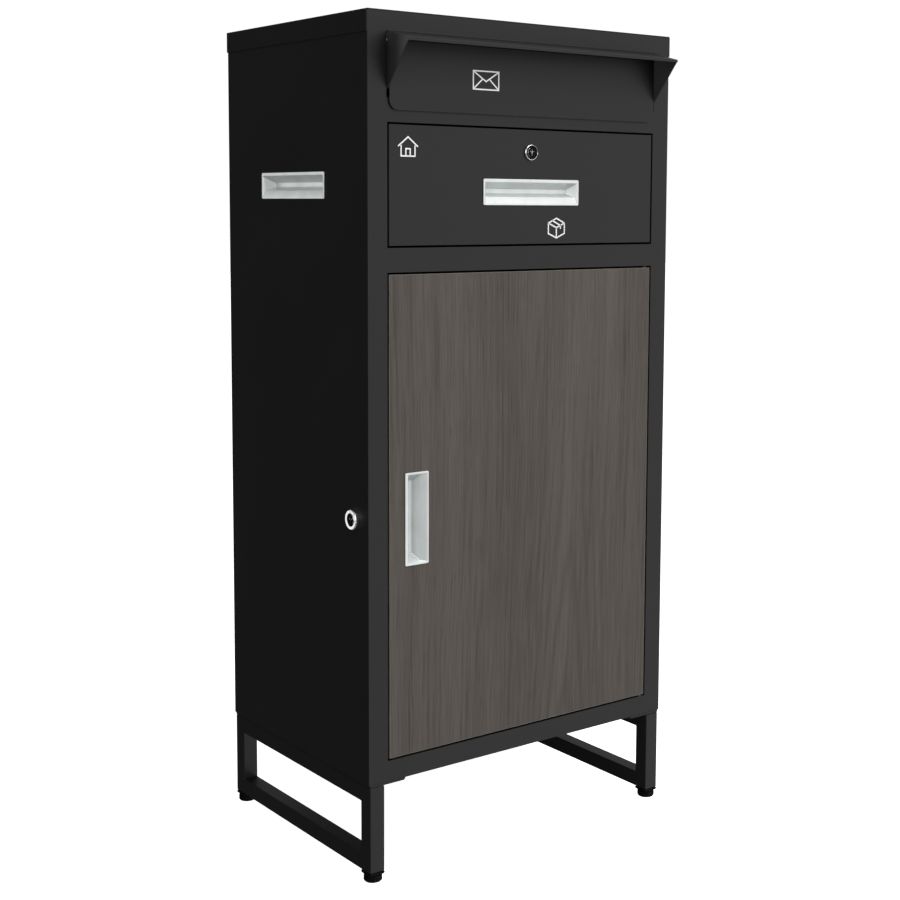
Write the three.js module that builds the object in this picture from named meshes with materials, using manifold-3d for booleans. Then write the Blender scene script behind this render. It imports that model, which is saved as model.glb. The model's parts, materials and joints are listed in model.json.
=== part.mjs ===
// A free-standing parcel drop box: a folded sheet-steel cabinet with a hooded letter flap, a lockable
// letter drawer and a lockable parcel door, standing on two loops of square tube with levelling feet.
// Millimetres. +Z is up and -Y is the front. The origin is on the floor, at the middle of the footprint.
import * as THREE from "three";
import { mergeVertices } from "three/addons/utils/BufferGeometryUtils.js";
import Module from "manifold-3d";

const wasm = await Module();
wasm.setup();

// ---- Driving dimensions -------------------------------------------------------------------------

const fit = 0.3; // clearance between pieces that bear on each other
const sheet = 1.5; // cabinet steel
const body = { width: 456, depth: 326, bottom: 118, top: 1000 };
const cap = { sheet: 1, skirt: 25 };
const side = { frontFlange: 16, backFlange: 20 };
const frame = { returnDepth: 14 };

const letterSlot = { width: 406, bottom: 904, top: 978 };
const drawerMouth = { width: 404, bottom: 736.4, top: 877 };
const doorMouth = { width: 404, bottom: 142.4, top: 708.7 };

const hood = { reach: 43, rootHeight: 977.4, edgeHeight: 966.5, cheekTip: 913, tabWidth: 12, flangeTop: 992 };
const flap = { width: 400.6, bottom: 890.3, hingeHeight: 967, corner: 11, proud: 0.8, pinRadius: 1.5 };
const ramp = { width: 396, reach: 45, drop: 12 };

const drawer = { gap: 2.3, returnDepth: 14 };
const tray = { width: 375, bottom: 742, top: 832, back: 140 };
const slide = {
  height: 35, sheet: 1.3, centre: 765, length: 250, setBack: 22, outerFace: 201, innerFace: 188.3,
};

const door = { gap: 2.5, returnDepth: 16, pivotInset: 5, pinRadius: 2.5, pinReach: 9 };
const shelf = { height: 720, flange: 15 };

const drawerCup = { length: 146, height: 31, x: 5, z: 800.5, depth: 12 };
const carryCup = { length: 147, height: 31.5, y: 2, z: 807, depth: 13 };
const doorCup = { length: 33, height: 109, x: -162, z: 423.5, depth: 12 };
const cup = { rim: 4.5, wall: 1.2, lip: 1, corner: 2.5 };

const lock = {
  bodyRadius: 8.5, plugRadius: 6, squareEnd: 8, nutFlats: 22, nutThickness: 4, camThickness: 2, camWidth: 14,
  hubRadius: 8.5, keyway: { width: 1.8, length: 7.5, depth: 6 },
  screw: { head: 6, headHeight: 1.6, shank: 2, depth: 8 },
};
const drawerLock = { x: 3, z: 848, headRadius: 9.75, headProud: 3, bodyLength: 15.2, camReach: 38 };
const sideLock = { setBack: 31, z: 425, headRadius: 12, headProud: 5, bodyLength: 29.7, camReach: 13.5 };
const strike = { lipDepth: 39.5, left: -199, armX: -192, baseRight: -170, bottom: 434, top: 454 };

const tube = { size: 20, wall: 1.5, bottom: 12, top: 114.4, sideInset: 1.5, endInset: 0.3 };
const plate = { length: 57.5, tabWidth: 40, thickness: 3, chamfer: 10 };
const foot = { radius: 11, height: 8.4, bevel: 1.5, stemRadius: 4, stemTop: 30 };
const endCap = { size: 21.6, lip: 3, insertTop: 26, corner: 3 };

// ---- Places worked out from them ----------------------------------------------------------------

const halfWidth = body.width / 2;
const front = -body.depth / 2;
const back = body.depth / 2;
const underCap = body.top - cap.sheet - fit;
const insideWall = halfWidth - sheet - fit;
const insideBack = back - 2 * sheet - 2 * fit;
const behindFlange = front + 2 * sheet + 2 * fit;
const hingeY = front - flap.proud + flap.pinRadius + fit; // the flap's curl is tangent to its face
const pivot = { x: doorMouth.width / 2 - door.gap - door.pivotInset, y: front + door.pivotInset };

// ---- Finishes -----------------------------------------------------------------------------------

const finishes = {
  paint: { color: 0x373737, roughness: 0.55, metalness: 0.2 },
  woodgrain: { color: 0x5a544c, roughness: 0.6, metalness: 0 },
  satin: { color: 0xb9bcbe, roughness: 0.35, metalness: 0.8 },
  chrome: { color: 0xdadbdd, roughness: 0.12, metalness: 1 },
  zinc: { color: 0x9a9c9e, roughness: 0.4, metalness: 0.9 },
  plastic: { color: 0x141414, roughness: 0.6, metalness: 0 },
  nylon: { color: 0xe4e2da, roughness: 0.5, metalness: 0 },
};

function piece(name, finish, geometry) {
  const mesh = new THREE.Mesh(geometry, new THREE.MeshStandardMaterial(finishes[finish]));
  mesh.name = name;
  return mesh;
}

// ---- Solids -------------------------------------------------------------------------------------

function toSolid(geometry) {
  const bare = geometry.clone();
  bare.deleteAttribute("normal");
  bare.deleteAttribute("uv");
  const merged = mergeVertices(bare, 1e-4);
  const vertProperties = merged.attributes.position.array;
  const triVerts = new Uint32Array(merged.index.array);
  return new wasm.Manifold(new wasm.Mesh({ numProp: 3, vertProperties, triVerts }));
}

function toGeometry(solid) {
  const { vertProperties, triVerts } = solid.getMesh();
  const geometry = new THREE.BufferGeometry();
  geometry.setAttribute("position", new THREE.BufferAttribute(vertProperties, 3));
  geometry.setIndex(new THREE.BufferAttribute(triVerts, 1));
  geometry.computeVertexNormals();
  return geometry;
}

const join = (...geometries) => toGeometry(geometries.map(toSolid).reduce((a, b) => a.add(b)));
const cut = (base, ...tools) => toGeometry(tools.map(toSolid).reduce((a, b) => a.subtract(b), toSolid(base)));

// A box from its spans along X, Y and Z.
function block([x0, x1], [y0, y1], [z0, z1]) {
  const middle = [(x0 + x1) / 2, (y0 + y1) / 2, (z0 + z1) / 2];
  return new THREE.BoxGeometry(x1 - x0, y1 - y0, z1 - z0).translate(...middle);
}

const disc = (radius, cu = 0, cv = 0) => new THREE.Shape().absarc(cu, cv, radius, 0, 2 * Math.PI);

const outline = (points) => new THREE.Shape(points.map(([u, v]) => new THREE.Vector2(u, v)));

function roundedRectangle(width, height, radius, cu = 0, cv = 0) {
  const [u, v] = [width / 2 - radius, height / 2 - radius];
  const shape = new THREE.Shape();
  shape.absarc(cu + u, cv - v, radius, -Math.PI / 2, 0);
  shape.absarc(cu + u, cv + v, radius, 0, Math.PI / 2);
  shape.absarc(cu - u, cv + v, radius, Math.PI / 2, Math.PI);
  shape.absarc(cu - u, cv - v, radius, Math.PI, 1.5 * Math.PI);
  return shape;
}

function withHole(shape, radius, cu = 0, cv = 0) {
  shape.holes.push(new THREE.Path().absarc(cu, cv, radius, 0, 2 * Math.PI, true));
  return shape;
}

// A prism of a flat outline between two heights.
function prismZ(shape, [z0, z1], curveSegments = 4) {
  const options = { depth: z1 - z0, bevelEnabled: false, curveSegments };
  return new THREE.ExtrudeGeometry(shape, options).translate(0, 0, z0);
}

// A prism along X of an outline drawn in Y and Z.
function prismX(shape, [x0, x1], curveSegments = 4) {
  const turn = new THREE.Matrix4().makeBasis(
    new THREE.Vector3(0, 1, 0), new THREE.Vector3(0, 0, 1), new THREE.Vector3(1, 0, 0));
  return prismZ(shape, [x0, x1], curveSegments).applyMatrix4(turn);
}

// A prism along Y of an outline drawn in X and Z.
function prismY(shape, [y0, y1], curveSegments = 4) {
  const turn = new THREE.Matrix4().makeBasis(
    new THREE.Vector3(1, 0, 0), new THREE.Vector3(0, 0, 1), new THREE.Vector3(0, -1, 0));
  return prismZ(shape, [-y1, -y0], curveSegments).applyMatrix4(turn);
}

// A turned solid about Z. Its profile holds [radius, height] points, from the bottom up.
function turned(profile, segments = 24) {
  const points = profile.map(([radius, height]) => new THREE.Vector2(radius, height));
  return new THREE.LatheGeometry(points, segments).rotateX(Math.PI / 2);
}

const rod = (radius, [z0, z1], segments = 24) =>
  turned([[0, z0], [radius, z0], [radius, z1], [0, z1]], segments);

// A group whose +Z looks out of the named side of the cabinet, with +Y still up.
function facing(sideName, position, ...meshes) {
  const quarter = Math.PI / 2;
  const turns = { front: [quarter, 0, 0], left: [quarter, -quarter, 0], right: [quarter, quarter, 0] };
  const group = new THREE.Group().add(...meshes);
  group.position.set(...position);
  group.rotation.set(...turns[sideName]);
  return group;
}

// ---- Cabinet ------------------------------------------------------------------------------------

function frontFrame() {
  const faceSpan = [front, front + sheet];
  const returnSpan = [front, front + frame.returnDepth];
  const mouths = [drawerMouth, doorMouth];
  const span = (mouth, grow) => [-mouth.width / 2 - grow, mouth.width / 2 + grow];
  const rise = (mouth, grow) => [mouth.bottom - grow, mouth.top + grow];
  const returns = mouths.map((mouth) => block(span(mouth, sheet), returnSpan, rise(mouth, sheet)));
  const face = block([-halfWidth, halfWidth], faceSpan, [body.bottom, underCap]);
  const footReach = halfWidth - side.frontFlange - fit;
  const sill = block([-footReach, footReach], returnSpan, [body.bottom, body.bottom + sheet]);
  const cutSpan = [front - 1, front + frame.returnDepth + 1];
  const holes = [letterSlot, ...mouths].map((mouth) => block(span(mouth, 0), cutSpan, rise(mouth, 0)));
  const pinHole = rod(door.pinRadius + fit, [doorMouth.bottom - 5, doorMouth.top + 5], 16);
  return cut(join(face, sill, ...returns), ...holes, pinHole.translate(pivot.x, pivot.y, 0));
}

// A shallow lid with skirts at the sides and the back, open at the front.
function topCap() {
  const half = halfWidth + fit + cap.sheet;
  const rear = back + fit + cap.sheet;
  const bottom = body.top - cap.skirt;
  const inner = half - cap.sheet;
  const lid = block([-half, half], [front, rear], [bottom, body.top]);
  return cut(lid, block([-inner, inner], [front - 1, rear - cap.sheet], [bottom - 1, body.top - cap.sheet]));
}

// One side wall: a web with a flange behind the front frame and one round the back corner.
function sidePanel(sign, ...holes) {
  const outer = halfWidth;
  const inner = halfWidth - sheet;
  const flangeFront = front + sheet + fit;
  const profile = [
    [outer, flangeFront], [outer, back],
    [outer - side.backFlange, back], [outer - side.backFlange, back - sheet],
    [inner, back - sheet], [inner, flangeFront + sheet], [outer - side.frontFlange, flangeFront + sheet],
    [outer - side.frontFlange, flangeFront],
  ];
  const points = profile.map(([x, y]) => [sign * x, y]);
  const wall = prismZ(outline(points), [body.bottom, underCap]);
  const [y, z] = [carryCup.y, carryCup.z];
  const cupHole = cupCutOut(carryCup);
  const window = block(
    [sign > 0 ? inner - 5 : -outer - 5, sign > 0 ? outer + 5 : -inner + 5],
    [y - cupHole.length / 2, y + cupHole.length / 2],
    [z - cupHole.height / 2, z + cupHole.height / 2],
  );
  return cut(wall, window, ...holes);
}

function sideLockHole() {
  const shape = disc(lock.bodyRadius + fit, front + sideLock.setBack, sideLock.z);
  return prismX(shape, [-halfWidth - 5, -halfWidth + 5], 12);
}

const backPanel = () =>
  block([-insideWall, insideWall], [insideBack, insideBack + sheet], [body.bottom, underCap]);

// A flat deck of folded sheet, its left and right edges turned up (flange > 0) or down (flange < 0).
function deck(yStart, z, flange) {
  const [outer, inner] = [insideWall, insideWall - sheet];
  const [flat, bearing, tip] = flange > 0 ? [z + sheet, z, z + flange] : [z, z + sheet, z + flange];
  const profile = outline([
    [-outer, bearing], [outer, bearing], [outer, tip], [inner, tip], [inner, flat],
    [-inner, flat], [-inner, tip], [-outer, tip],
  ]);
  return prismY(profile, [yStart, insideBack - fit]);
}

const floorPanel = () => deck(front + frame.returnDepth + fit, body.bottom, shelf.flange);
const dividerShelf = () => deck(behindFlange, shelf.height, -shelf.flange);

// ---- Letter hood and flap -----------------------------------------------------------------------

function mailHood() {
  const slope = (hood.rootHeight - hood.edgeHeight) / hood.reach;
  const edge = front - hood.reach;
  const flangeFace = front + sheet + 2.5;
  const tabBack = front + hood.tabWidth;
  const topAt = (y) => hood.rootHeight + slope * (y - front);
  const roof = outline([
    [edge, hood.edgeHeight], [edge, hood.edgeHeight - 2 * sheet], [edge + sheet, hood.edgeHeight - 2 * sheet],
    [edge + sheet, topAt(edge + sheet) - sheet], [flangeFace + sheet, topAt(flangeFace + sheet) - sheet],
    [flangeFace + sheet, hood.flangeTop], [flangeFace, hood.flangeTop], [flangeFace, topAt(flangeFace)],
  ]);
  const cheek = outline([
    [edge, hood.edgeHeight - sheet], [front, hood.cheekTip], [tabBack, hood.cheekTip],
    [tabBack, hood.rootHeight - 5], [flangeFace + sheet, topAt(flangeFace + sheet) - sheet / 2],
  ]);
  const outer = letterSlot.width / 2 - 2 * fit;
  const inner = outer - sheet;
  const roofPrism = prismX(roof, [-outer, outer]);
  const pinHole = disc(flap.pinRadius + fit, hingeY, flap.hingeHeight);
  const ends = [-1, 1].map((sign) => {
    const xSpan = [sign * inner, sign * outer].sort((a, b) => a - b);
    const tabSpan = [sign * inner, sign * (outer + hood.tabWidth)].sort((a, b) => a - b);
    const tab = block(tabSpan, [tabBack - sheet, tabBack], [hood.cheekTip + 2, hood.rootHeight - 10]);
    return join(prismX(cheek, xSpan), tab);
  });
  return cut(join(roofPrism, ...ends), prismX(pinHole, [-outer - 5, outer + 5], 4));
}

function mailFlap() {
  const face = front - flap.proud - sheet;
  const width = flap.width;
  const half = width / 2;
  const shape = new THREE.Shape();
  shape.moveTo(half, flap.hingeHeight);
  shape.lineTo(-half, flap.hingeHeight);
  shape.absarc(-half + flap.corner, flap.bottom + flap.corner, flap.corner, Math.PI, 1.5 * Math.PI);
  shape.absarc(half - flap.corner, flap.bottom + flap.corner, flap.corner, -Math.PI / 2, 0);
  const leaf = prismY(shape, [face, face + sheet], 5);
  const bore = flap.pinRadius + fit;
  const curl = disc(bore + sheet, hingeY, flap.hingeHeight);
  const bored = disc(bore, hingeY, flap.hingeHeight);
  return cut(join(leaf, prismX(curl, [-half, half], 10)), prismX(bored, [-half - 5, half + 5], 5));
}

function flapPin() {
  const reach = letterSlot.width / 2 - fit;
  return prismX(disc(flap.pinRadius, hingeY, flap.hingeHeight), [-reach, reach], 5);
}

// The plate behind the slot's lower edge, which leads letters back over the lock to the tray.
function letterRamp() {
  const face = front + sheet + fit;
  const top = letterSlot.bottom + 1;
  const rear = front + ramp.reach;
  const profile = outline([
    [face, drawerMouth.top + 5], [face + sheet, drawerMouth.top + 5], [face + sheet, top - sheet],
    [rear, top - ramp.drop - sheet], [rear, top - ramp.drop], [face, top],
  ]);
  return prismX(profile, [-ramp.width / 2, ramp.width / 2]);
}

// ---- Cup handles --------------------------------------------------------------------------------

const cupCutOut = ({ length, height }) => {
  const shrink = 2 * (cup.rim - cup.wall - fit);
  return { length: length - shrink, height: height - shrink };
};

// A pressed cup that opens towards +Z, with its rim lying on a sheet at height 0.
function cupHandle({ length, height, depth }) {
  const inset = 2 * (cup.rim - cup.wall);
  const bowl = roundedRectangle(length - inset, height - inset, cup.corner);
  const hollow = roundedRectangle(length - 2 * cup.rim, height - 2 * cup.rim, cup.corner - cup.wall);
  const lip = prismZ(roundedRectangle(length, height, cup.corner), [fit, fit + cup.lip]);
  const shell = join(lip, prismZ(bowl, [-depth, fit + cup.lip / 2]));
  return cut(shell, prismZ(hollow, [cup.wall - depth, depth]));
}

const carryHandle = (sideName, sign) =>
  facing(sideName, [sign * halfWidth, carryCup.y, carryCup.z],
    piece(`${sideName}_carry_cup`, "satin", cupHandle(carryCup)));

// ---- Cam locks ----------------------------------------------------------------------------------

// The outward face of the sheet is at height 0, and the key goes in from +Z.
function lockBarrel({ headRadius, headProud, bodyLength }) {
  const bore = lock.plugRadius + fit;
  const bevel = 1;
  return turned([
    [bore, -bodyLength], [lock.bodyRadius, -bodyLength], [lock.bodyRadius, fit], [headRadius, fit],
    [headRadius, headProud - bevel], [headRadius - bevel, headProud], [bore, headProud],
    [bore, -bodyLength],
  ]);
}

function lockPlug({ headProud, bodyLength }) {
  const { keyway, screw, squareEnd, camThickness } = lock;
  const face = headProud - 0.5;
  const end = -bodyLength - fit - camThickness;
  const core = rod(lock.plugRadius, [-bodyLength, face]);
  const half = squareEnd / 2;
  const square = block([-half, half], [-half, half], [end, -bodyLength + 1]);
  const slot = block(
    [-keyway.width / 2, keyway.width / 2],
    [-keyway.length / 2, keyway.length / 2],
    [face - keyway.depth, face + 1],
  );
  return cut(join(core, square), slot, rod(screw.shank + fit, [end - 1, end + screw.depth], 12));
}

function lockNut() {
  const radius = lock.nutFlats / 2 / Math.cos(Math.PI / 6);
  const corners = Array.from({ length: 6 }, (_, i) => (i * Math.PI) / 3);
  const hexagon = outline(corners.map((a) => [radius * Math.cos(a), radius * Math.sin(a)]));
  const top = -sheet - fit;
  return prismZ(withHole(hexagon, lock.bodyRadius + fit), [top - lock.nutThickness, top], 6);
}

// The cam points sideways while the lock is open, and stands up when it is locked.
function lockCam({ bodyLength, camReach }) {
  const half = lock.camWidth / 2;
  const hole = lock.squareEnd / 2 + fit;
  const top = -bodyLength - fit;
  const span = [top - lock.camThickness, top];
  const tip = camReach - 3;
  const arm = outline([
    [0, -half], [tip, -half], [camReach, 3 - half], [camReach, half - 3], [tip, half], [0, half],
  ]);
  const hub = rod(lock.hubRadius, span);
  return cut(join(hub, prismZ(arm, span)), block([-hole, hole], [-hole, hole], [span[0] - 1, span[1] + 1]));
}

function lockScrew({ bodyLength }) {
  const { head, headHeight, shank, depth } = lock.screw;
  const seat = -bodyLength - 2 * fit - lock.camThickness;
  return turned([
    [0, seat - headHeight], [head, seat - headHeight], [head, seat],
    [shank, seat], [shank, seat + depth], [0, seat + depth],
  ], 16);
}

function camLock(name, sizes) {
  return [
    piece(`${name}_barrel`, "chrome", lockBarrel(sizes)),
    piece(`${name}_plug`, "chrome", lockPlug(sizes)),
    piece(`${name}_nut`, "zinc", lockNut()),
    piece(`${name}_cam`, "zinc", lockCam(sizes)),
    piece(`${name}_cam_screw`, "zinc", lockScrew(sizes)),
  ];
}

// ---- Letter drawer ------------------------------------------------------------------------------

// A shallow tray of folded sheet that faces the front: a drawer front or a door leaf.
function facePan(mouth, gap, depth) {
  const half = mouth.width / 2 - gap;
  const [low, high] = [mouth.bottom + gap, mouth.top - gap];
  const shell = block([-half, half], [front, front + depth], [low, high]);
  const inner = half - sheet;
  return cut(shell, block([-inner, inner], [front + sheet, front + depth + 1], [low + sheet, high - sheet]));
}

function panWindow({ x, z, ...size }) {
  const { length, height } = cupCutOut(size);
  return block([x - length / 2, x + length / 2], [front - 1, front + 5], [z - height / 2, z + height / 2]);
}

function drawerFront() {
  const hole = disc(lock.bodyRadius + fit, drawerLock.x, drawerLock.z);
  const lockHole = prismY(hole, [front - 1, front + 5], 12);
  return cut(facePan(drawerMouth, drawer.gap, drawer.returnDepth), panWindow(drawerCup), lockHole);
}

function drawerTray() {
  const half = tray.width / 2;
  const start = front + drawer.returnDepth + fit;
  const shell = block([-half, half], [start, tray.back], [tray.bottom, tray.top]);
  const hollow = block(
    [-half + sheet, half - sheet], [start + sheet, tray.back - sheet], [tray.bottom + sheet, tray.top + 1]);
  return cut(shell, hollow);
}

// A channel section along Y. It spans x0 to x1, is `height` high, and opens towards x1.
function channel(x0, x1, height, thickness, ySpan) {
  const inward = Math.sign(x1 - x0) * thickness;
  const half = height / 2;
  const points = [
    [x0, -half], [x1, -half], [x1, thickness - half], [x0 + inward, thickness - half],
    [x0 + inward, half - thickness], [x1, half - thickness], [x1, half], [x0, half],
  ];
  return prismY(outline(points.map(([x, z]) => [x, slide.centre + z])), ySpan);
}

// A telescopic slide and the spacer that carries it: its three members nest with running clearance.
function slideSet(sideName, sign) {
  const { height, sheet: wall, outerFace, innerFace, setBack, length } = slide;
  const start = front + setBack;
  const step = wall + fit;
  const members = {
    spacer: channel(sign * (outerFace + fit), sign * insideWall, height, sheet, [start, start + length]),
    outer: channel(sign * outerFace, sign * (innerFace + 3), height, wall, [start, start + length]),
    middle: channel(
      sign * (outerFace - step), sign * (innerFace + 2), height - 2 * step, wall,
      [start + 2, start + length - 20]),
    inner: channel(
      sign * innerFace, sign * (outerFace - 2 * step), height - 4 * step, wall,
      [start - 2, start + length - 2]),
  };
  return Object.entries(members).map(([member, geometry]) =>
    piece(`${sideName}_slide_${member}`, "zinc", geometry));
}

// ---- Parcel door --------------------------------------------------------------------------------

function doorLeaf() {
  const pan = facePan(doorMouth, door.gap, door.returnDepth);
  const pinHole = rod(door.pinRadius + fit, [doorMouth.bottom, doorMouth.top], 16);
  return cut(pan, panWindow(doorCup), pinHole.translate(pivot.x, pivot.y, 0));
}

function doorBack() {
  const half = doorMouth.width / 2 - door.gap - sheet - fit;
  const inset = door.gap + sheet + fit;
  const depth = [front + door.returnDepth - fit - sheet, front + door.returnDepth - fit];
  return block([-half, half], depth, [doorMouth.bottom + inset, doorMouth.top - inset]);
}

// The hooked bracket behind the door's free edge, which the side lock's cam stands in front of.
function doorStrike() {
  const { left, armX, baseRight, lipDepth, bottom, top } = strike;
  const base = front + door.returnDepth + fit;
  const lip = front + lipDepth;
  const plan = outline([
    [armX, base], [baseRight, base], [baseRight, base + sheet], [armX + sheet, base + sheet],
    [armX + sheet, lip + sheet], [left, lip + sheet], [left, lip], [armX, lip],
  ]);
  return prismZ(plan, [bottom, top]);
}

// A pivot pin, from `door.pinReach` inside the mouth's edge to 3 mm into the frame. `way` is 1 at the top.
function pivotPin(edge, way) {
  const ends = [edge - way * door.pinReach, edge + way * 3].sort((a, b) => a - b);
  return rod(door.pinRadius, ends, 16).translate(pivot.x, pivot.y, 0);
}

function pivotWasher() {
  const [inner, outer] = [door.pinRadius + fit, 2 * door.pinRadius];
  const seat = [doorMouth.bottom + fit, doorMouth.bottom + door.gap - fit];
  return prismZ(withHole(disc(outer), inner), seat, 6).translate(pivot.x, pivot.y, 0);
}

// ---- Legs ---------------------------------------------------------------------------------------

const legX = halfWidth - tube.sideInset - tube.size / 2;
const legY = back - tube.endInset - tube.size / 2;

// A loop of square tube: two posts, open at the foot, and two bars whose bores run into the posts.
function legLoop(sign) {
  const grow = (centre, half) => [centre - half, centre + half];
  const loop = (half, overrun) => {
    const across = grow(sign * legX, half);
    const inset = tube.size / 2 - half;
    const posts = [-legY, legY].map((y) =>
      block(across, grow(y, half), [tube.bottom - overrun, tube.top - inset]));
    const bars = [tube.bottom, tube.top - tube.size].map((z) =>
      block(across, [-legY, legY], [z + inset, z + tube.size - inset]));
    return join(...posts, ...bars);
  };
  return cut(loop(tube.size / 2, 0), loop(tube.size / 2 - tube.wall, 1));
}

// The plate on top of a loop: a rail over its bar, with a tab that reaches inwards at each end.
function mountPlate(sign) {
  const outer = halfWidth - tube.sideInset;
  const rail = outer - tube.size;
  const inner = outer - plate.length;
  const end = back - tube.endInset;
  const root = end - plate.tabWidth;
  const tab = [[rail, root], [inner + plate.chamfer, root], [inner, root + plate.chamfer],
    [inner, end - plate.chamfer], [inner + plate.chamfer, end], [outer, end]];
  const corners = [...tab, ...tab.map(([x, y]) => [x, -y]).reverse()];
  const top = body.bottom - fit;
  return prismZ(outline(corners.map(([x, y]) => [sign * x, y])), [top - plate.thickness, top]);
}

function tubeCap() {
  const top = tube.bottom - fit;
  const insert = tube.size - 2 * tube.wall - 2 * fit;
  const lip = prismZ(roundedRectangle(endCap.size, endCap.size, endCap.corner), [top - endCap.lip, top]);
  const plug = prismZ(roundedRectangle(insert, insert, 1), [top - 1, endCap.insertTop], 2);
  return cut(join(lip, plug), rod(foot.stemRadius + fit, [0, endCap.insertTop + 5], 16));
}

function levellingFoot() {
  const { radius, height, bevel, stemRadius, stemTop } = foot;
  return turned([
    [0, 0], [radius - bevel, 0], [radius, bevel], [radius, height - bevel], [radius - bevel, height],
    [stemRadius, height], [stemRadius, stemTop], [0, stemTop],
  ]);
}

function postFoot(name, signX, signY) {
  const post = new THREE.Group();
  post.position.set(signX * legX, signY * legY, 0);
  return post.add(
    piece(`${name}_tube_cap`, "plastic", tubeCap()), piece(`${name}_foot`, "plastic", levellingFoot()));
}

// ---- Assembly -----------------------------------------------------------------------------------

const shell = new THREE.Group().add(
  piece("front_frame", "paint", frontFrame()),
  piece("top_cap", "paint", topCap()),
  piece("left_side_panel", "paint", sidePanel(-1, sideLockHole())),
  piece("right_side_panel", "paint", sidePanel(1)),
  piece("back_panel", "paint", backPanel()),
  piece("floor_panel", "paint", floorPanel()),
  piece("divider_shelf", "paint", dividerShelf()),
  carryHandle("left", -1),
  carryHandle("right", 1),
  facing("left", [-halfWidth, front + sideLock.setBack, sideLock.z], ...camLock("side_lock", sideLock)),
);

const letterEntry = new THREE.Group().add(
  piece("mail_hood", "paint", mailHood()),
  piece("mail_flap", "paint", mailFlap()),
  piece("mail_flap_pin", "zinc", flapPin()),
  piece("letter_ramp", "paint", letterRamp()),
);

const letterDrawer = new THREE.Group().add(
  piece("drawer_front", "paint", drawerFront()),
  piece("drawer_tray", "zinc", drawerTray()),
  facing("front", [drawerCup.x, front, drawerCup.z], piece("drawer_cup", "satin", cupHandle(drawerCup))),
  facing("front", [drawerLock.x, front, drawerLock.z], ...camLock("drawer_lock", drawerLock)),
  ...slideSet("left", -1),
  ...slideSet("right", 1),
);

const parcelDoor = new THREE.Group().add(
  piece("door_leaf", "woodgrain", doorLeaf()),
  piece("door_back", "zinc", doorBack()),
  facing("front", [doorCup.x, front, doorCup.z], piece("door_cup", "satin", cupHandle(doorCup))),
  piece("door_strike", "zinc", doorStrike()),
  piece("door_pin_top", "zinc", pivotPin(doorMouth.top, 1)),
  piece("door_pin_bottom", "zinc", pivotPin(doorMouth.bottom, -1)),
  piece("door_washer", "nylon", pivotWasher()),
);

const stand = new THREE.Group().add(
  piece("left_leg_loop", "paint", legLoop(-1)),
  piece("right_leg_loop", "paint", legLoop(1)),
  piece("left_mount_plate", "paint", mountPlate(-1)),
  piece("right_mount_plate", "paint", mountPlate(1)),
  postFoot("front_left", -1, -1),
  postFoot("front_right", 1, -1),
  postFoot("back_left", -1, 1),
  postFoot("back_right", 1, 1),
);

// The side lock and the hood stand out furthest, so the footprint's middle is not the cabinet's.
const skirtOut = fit + cap.sheet;
const dropBox = new THREE.Group().add(shell, letterEntry, letterDrawer, parcelDoor, stand);
dropBox.position.set((sideLock.headProud - skirtOut) / 2, (hood.reach - skirtOut) / 2, 0);
const part = new THREE.Group().add(dropBox);

export default part;
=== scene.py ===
"""A parcel drop box of folded sheet steel, dressed for its studio view.

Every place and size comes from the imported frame. Folded sheets that already have their real shape stay,
with their edges rounded and a finish on them. Pressed cups, lock faces, the lid, the legs' tubes, the feet,
fixings, weld beads and printed signs are made here. Metres throughout: +Z is up and -Y is the front.
"""

import json
import logging
import math
from collections.abc import Iterable, Sequence
from dataclasses import dataclass
from enum import Enum
from typing import Any, ClassVar

import bmesh
import bpy
from mathutils import Matrix, Vector

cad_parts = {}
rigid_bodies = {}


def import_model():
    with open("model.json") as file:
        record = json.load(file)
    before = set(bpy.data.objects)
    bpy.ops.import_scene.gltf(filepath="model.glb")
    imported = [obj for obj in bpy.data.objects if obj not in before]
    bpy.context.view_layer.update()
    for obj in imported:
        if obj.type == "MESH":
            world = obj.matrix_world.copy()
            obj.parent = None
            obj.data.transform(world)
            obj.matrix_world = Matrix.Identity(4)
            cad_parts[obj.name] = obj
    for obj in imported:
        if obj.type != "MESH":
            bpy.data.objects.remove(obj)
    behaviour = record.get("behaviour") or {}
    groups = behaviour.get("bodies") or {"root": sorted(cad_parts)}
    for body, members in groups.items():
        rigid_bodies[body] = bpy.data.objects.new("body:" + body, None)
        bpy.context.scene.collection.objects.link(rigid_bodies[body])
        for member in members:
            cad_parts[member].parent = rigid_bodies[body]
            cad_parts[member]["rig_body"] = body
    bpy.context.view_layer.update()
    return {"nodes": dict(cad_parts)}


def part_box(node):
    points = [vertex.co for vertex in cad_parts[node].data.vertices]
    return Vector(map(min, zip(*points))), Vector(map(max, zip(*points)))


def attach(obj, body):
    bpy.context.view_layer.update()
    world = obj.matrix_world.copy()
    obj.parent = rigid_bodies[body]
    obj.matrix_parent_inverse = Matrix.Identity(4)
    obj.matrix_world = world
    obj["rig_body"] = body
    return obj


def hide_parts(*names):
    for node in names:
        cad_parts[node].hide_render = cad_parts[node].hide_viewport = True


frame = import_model()

MM = 0.001
SHEET = 1.5 * MM
PEEL_SCALE = 620.0
PEEL_DEPTH = 0.04 * MM
WELD_GAP = 0.004 * MM
SHARP_ANGLE = math.radians(38)
FLAT_ANGLE = math.radians(0.5)
MITRE_LIMIT = 0.35
log = logging.getLogger("drop_box")

Point2 = tuple[float, float]
Point3 = tuple[float, float, float]
Colour = tuple[float, float, float]
Stroke = tuple[list[Point2], bool]


# ---- Shader arithmetic ----


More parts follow.
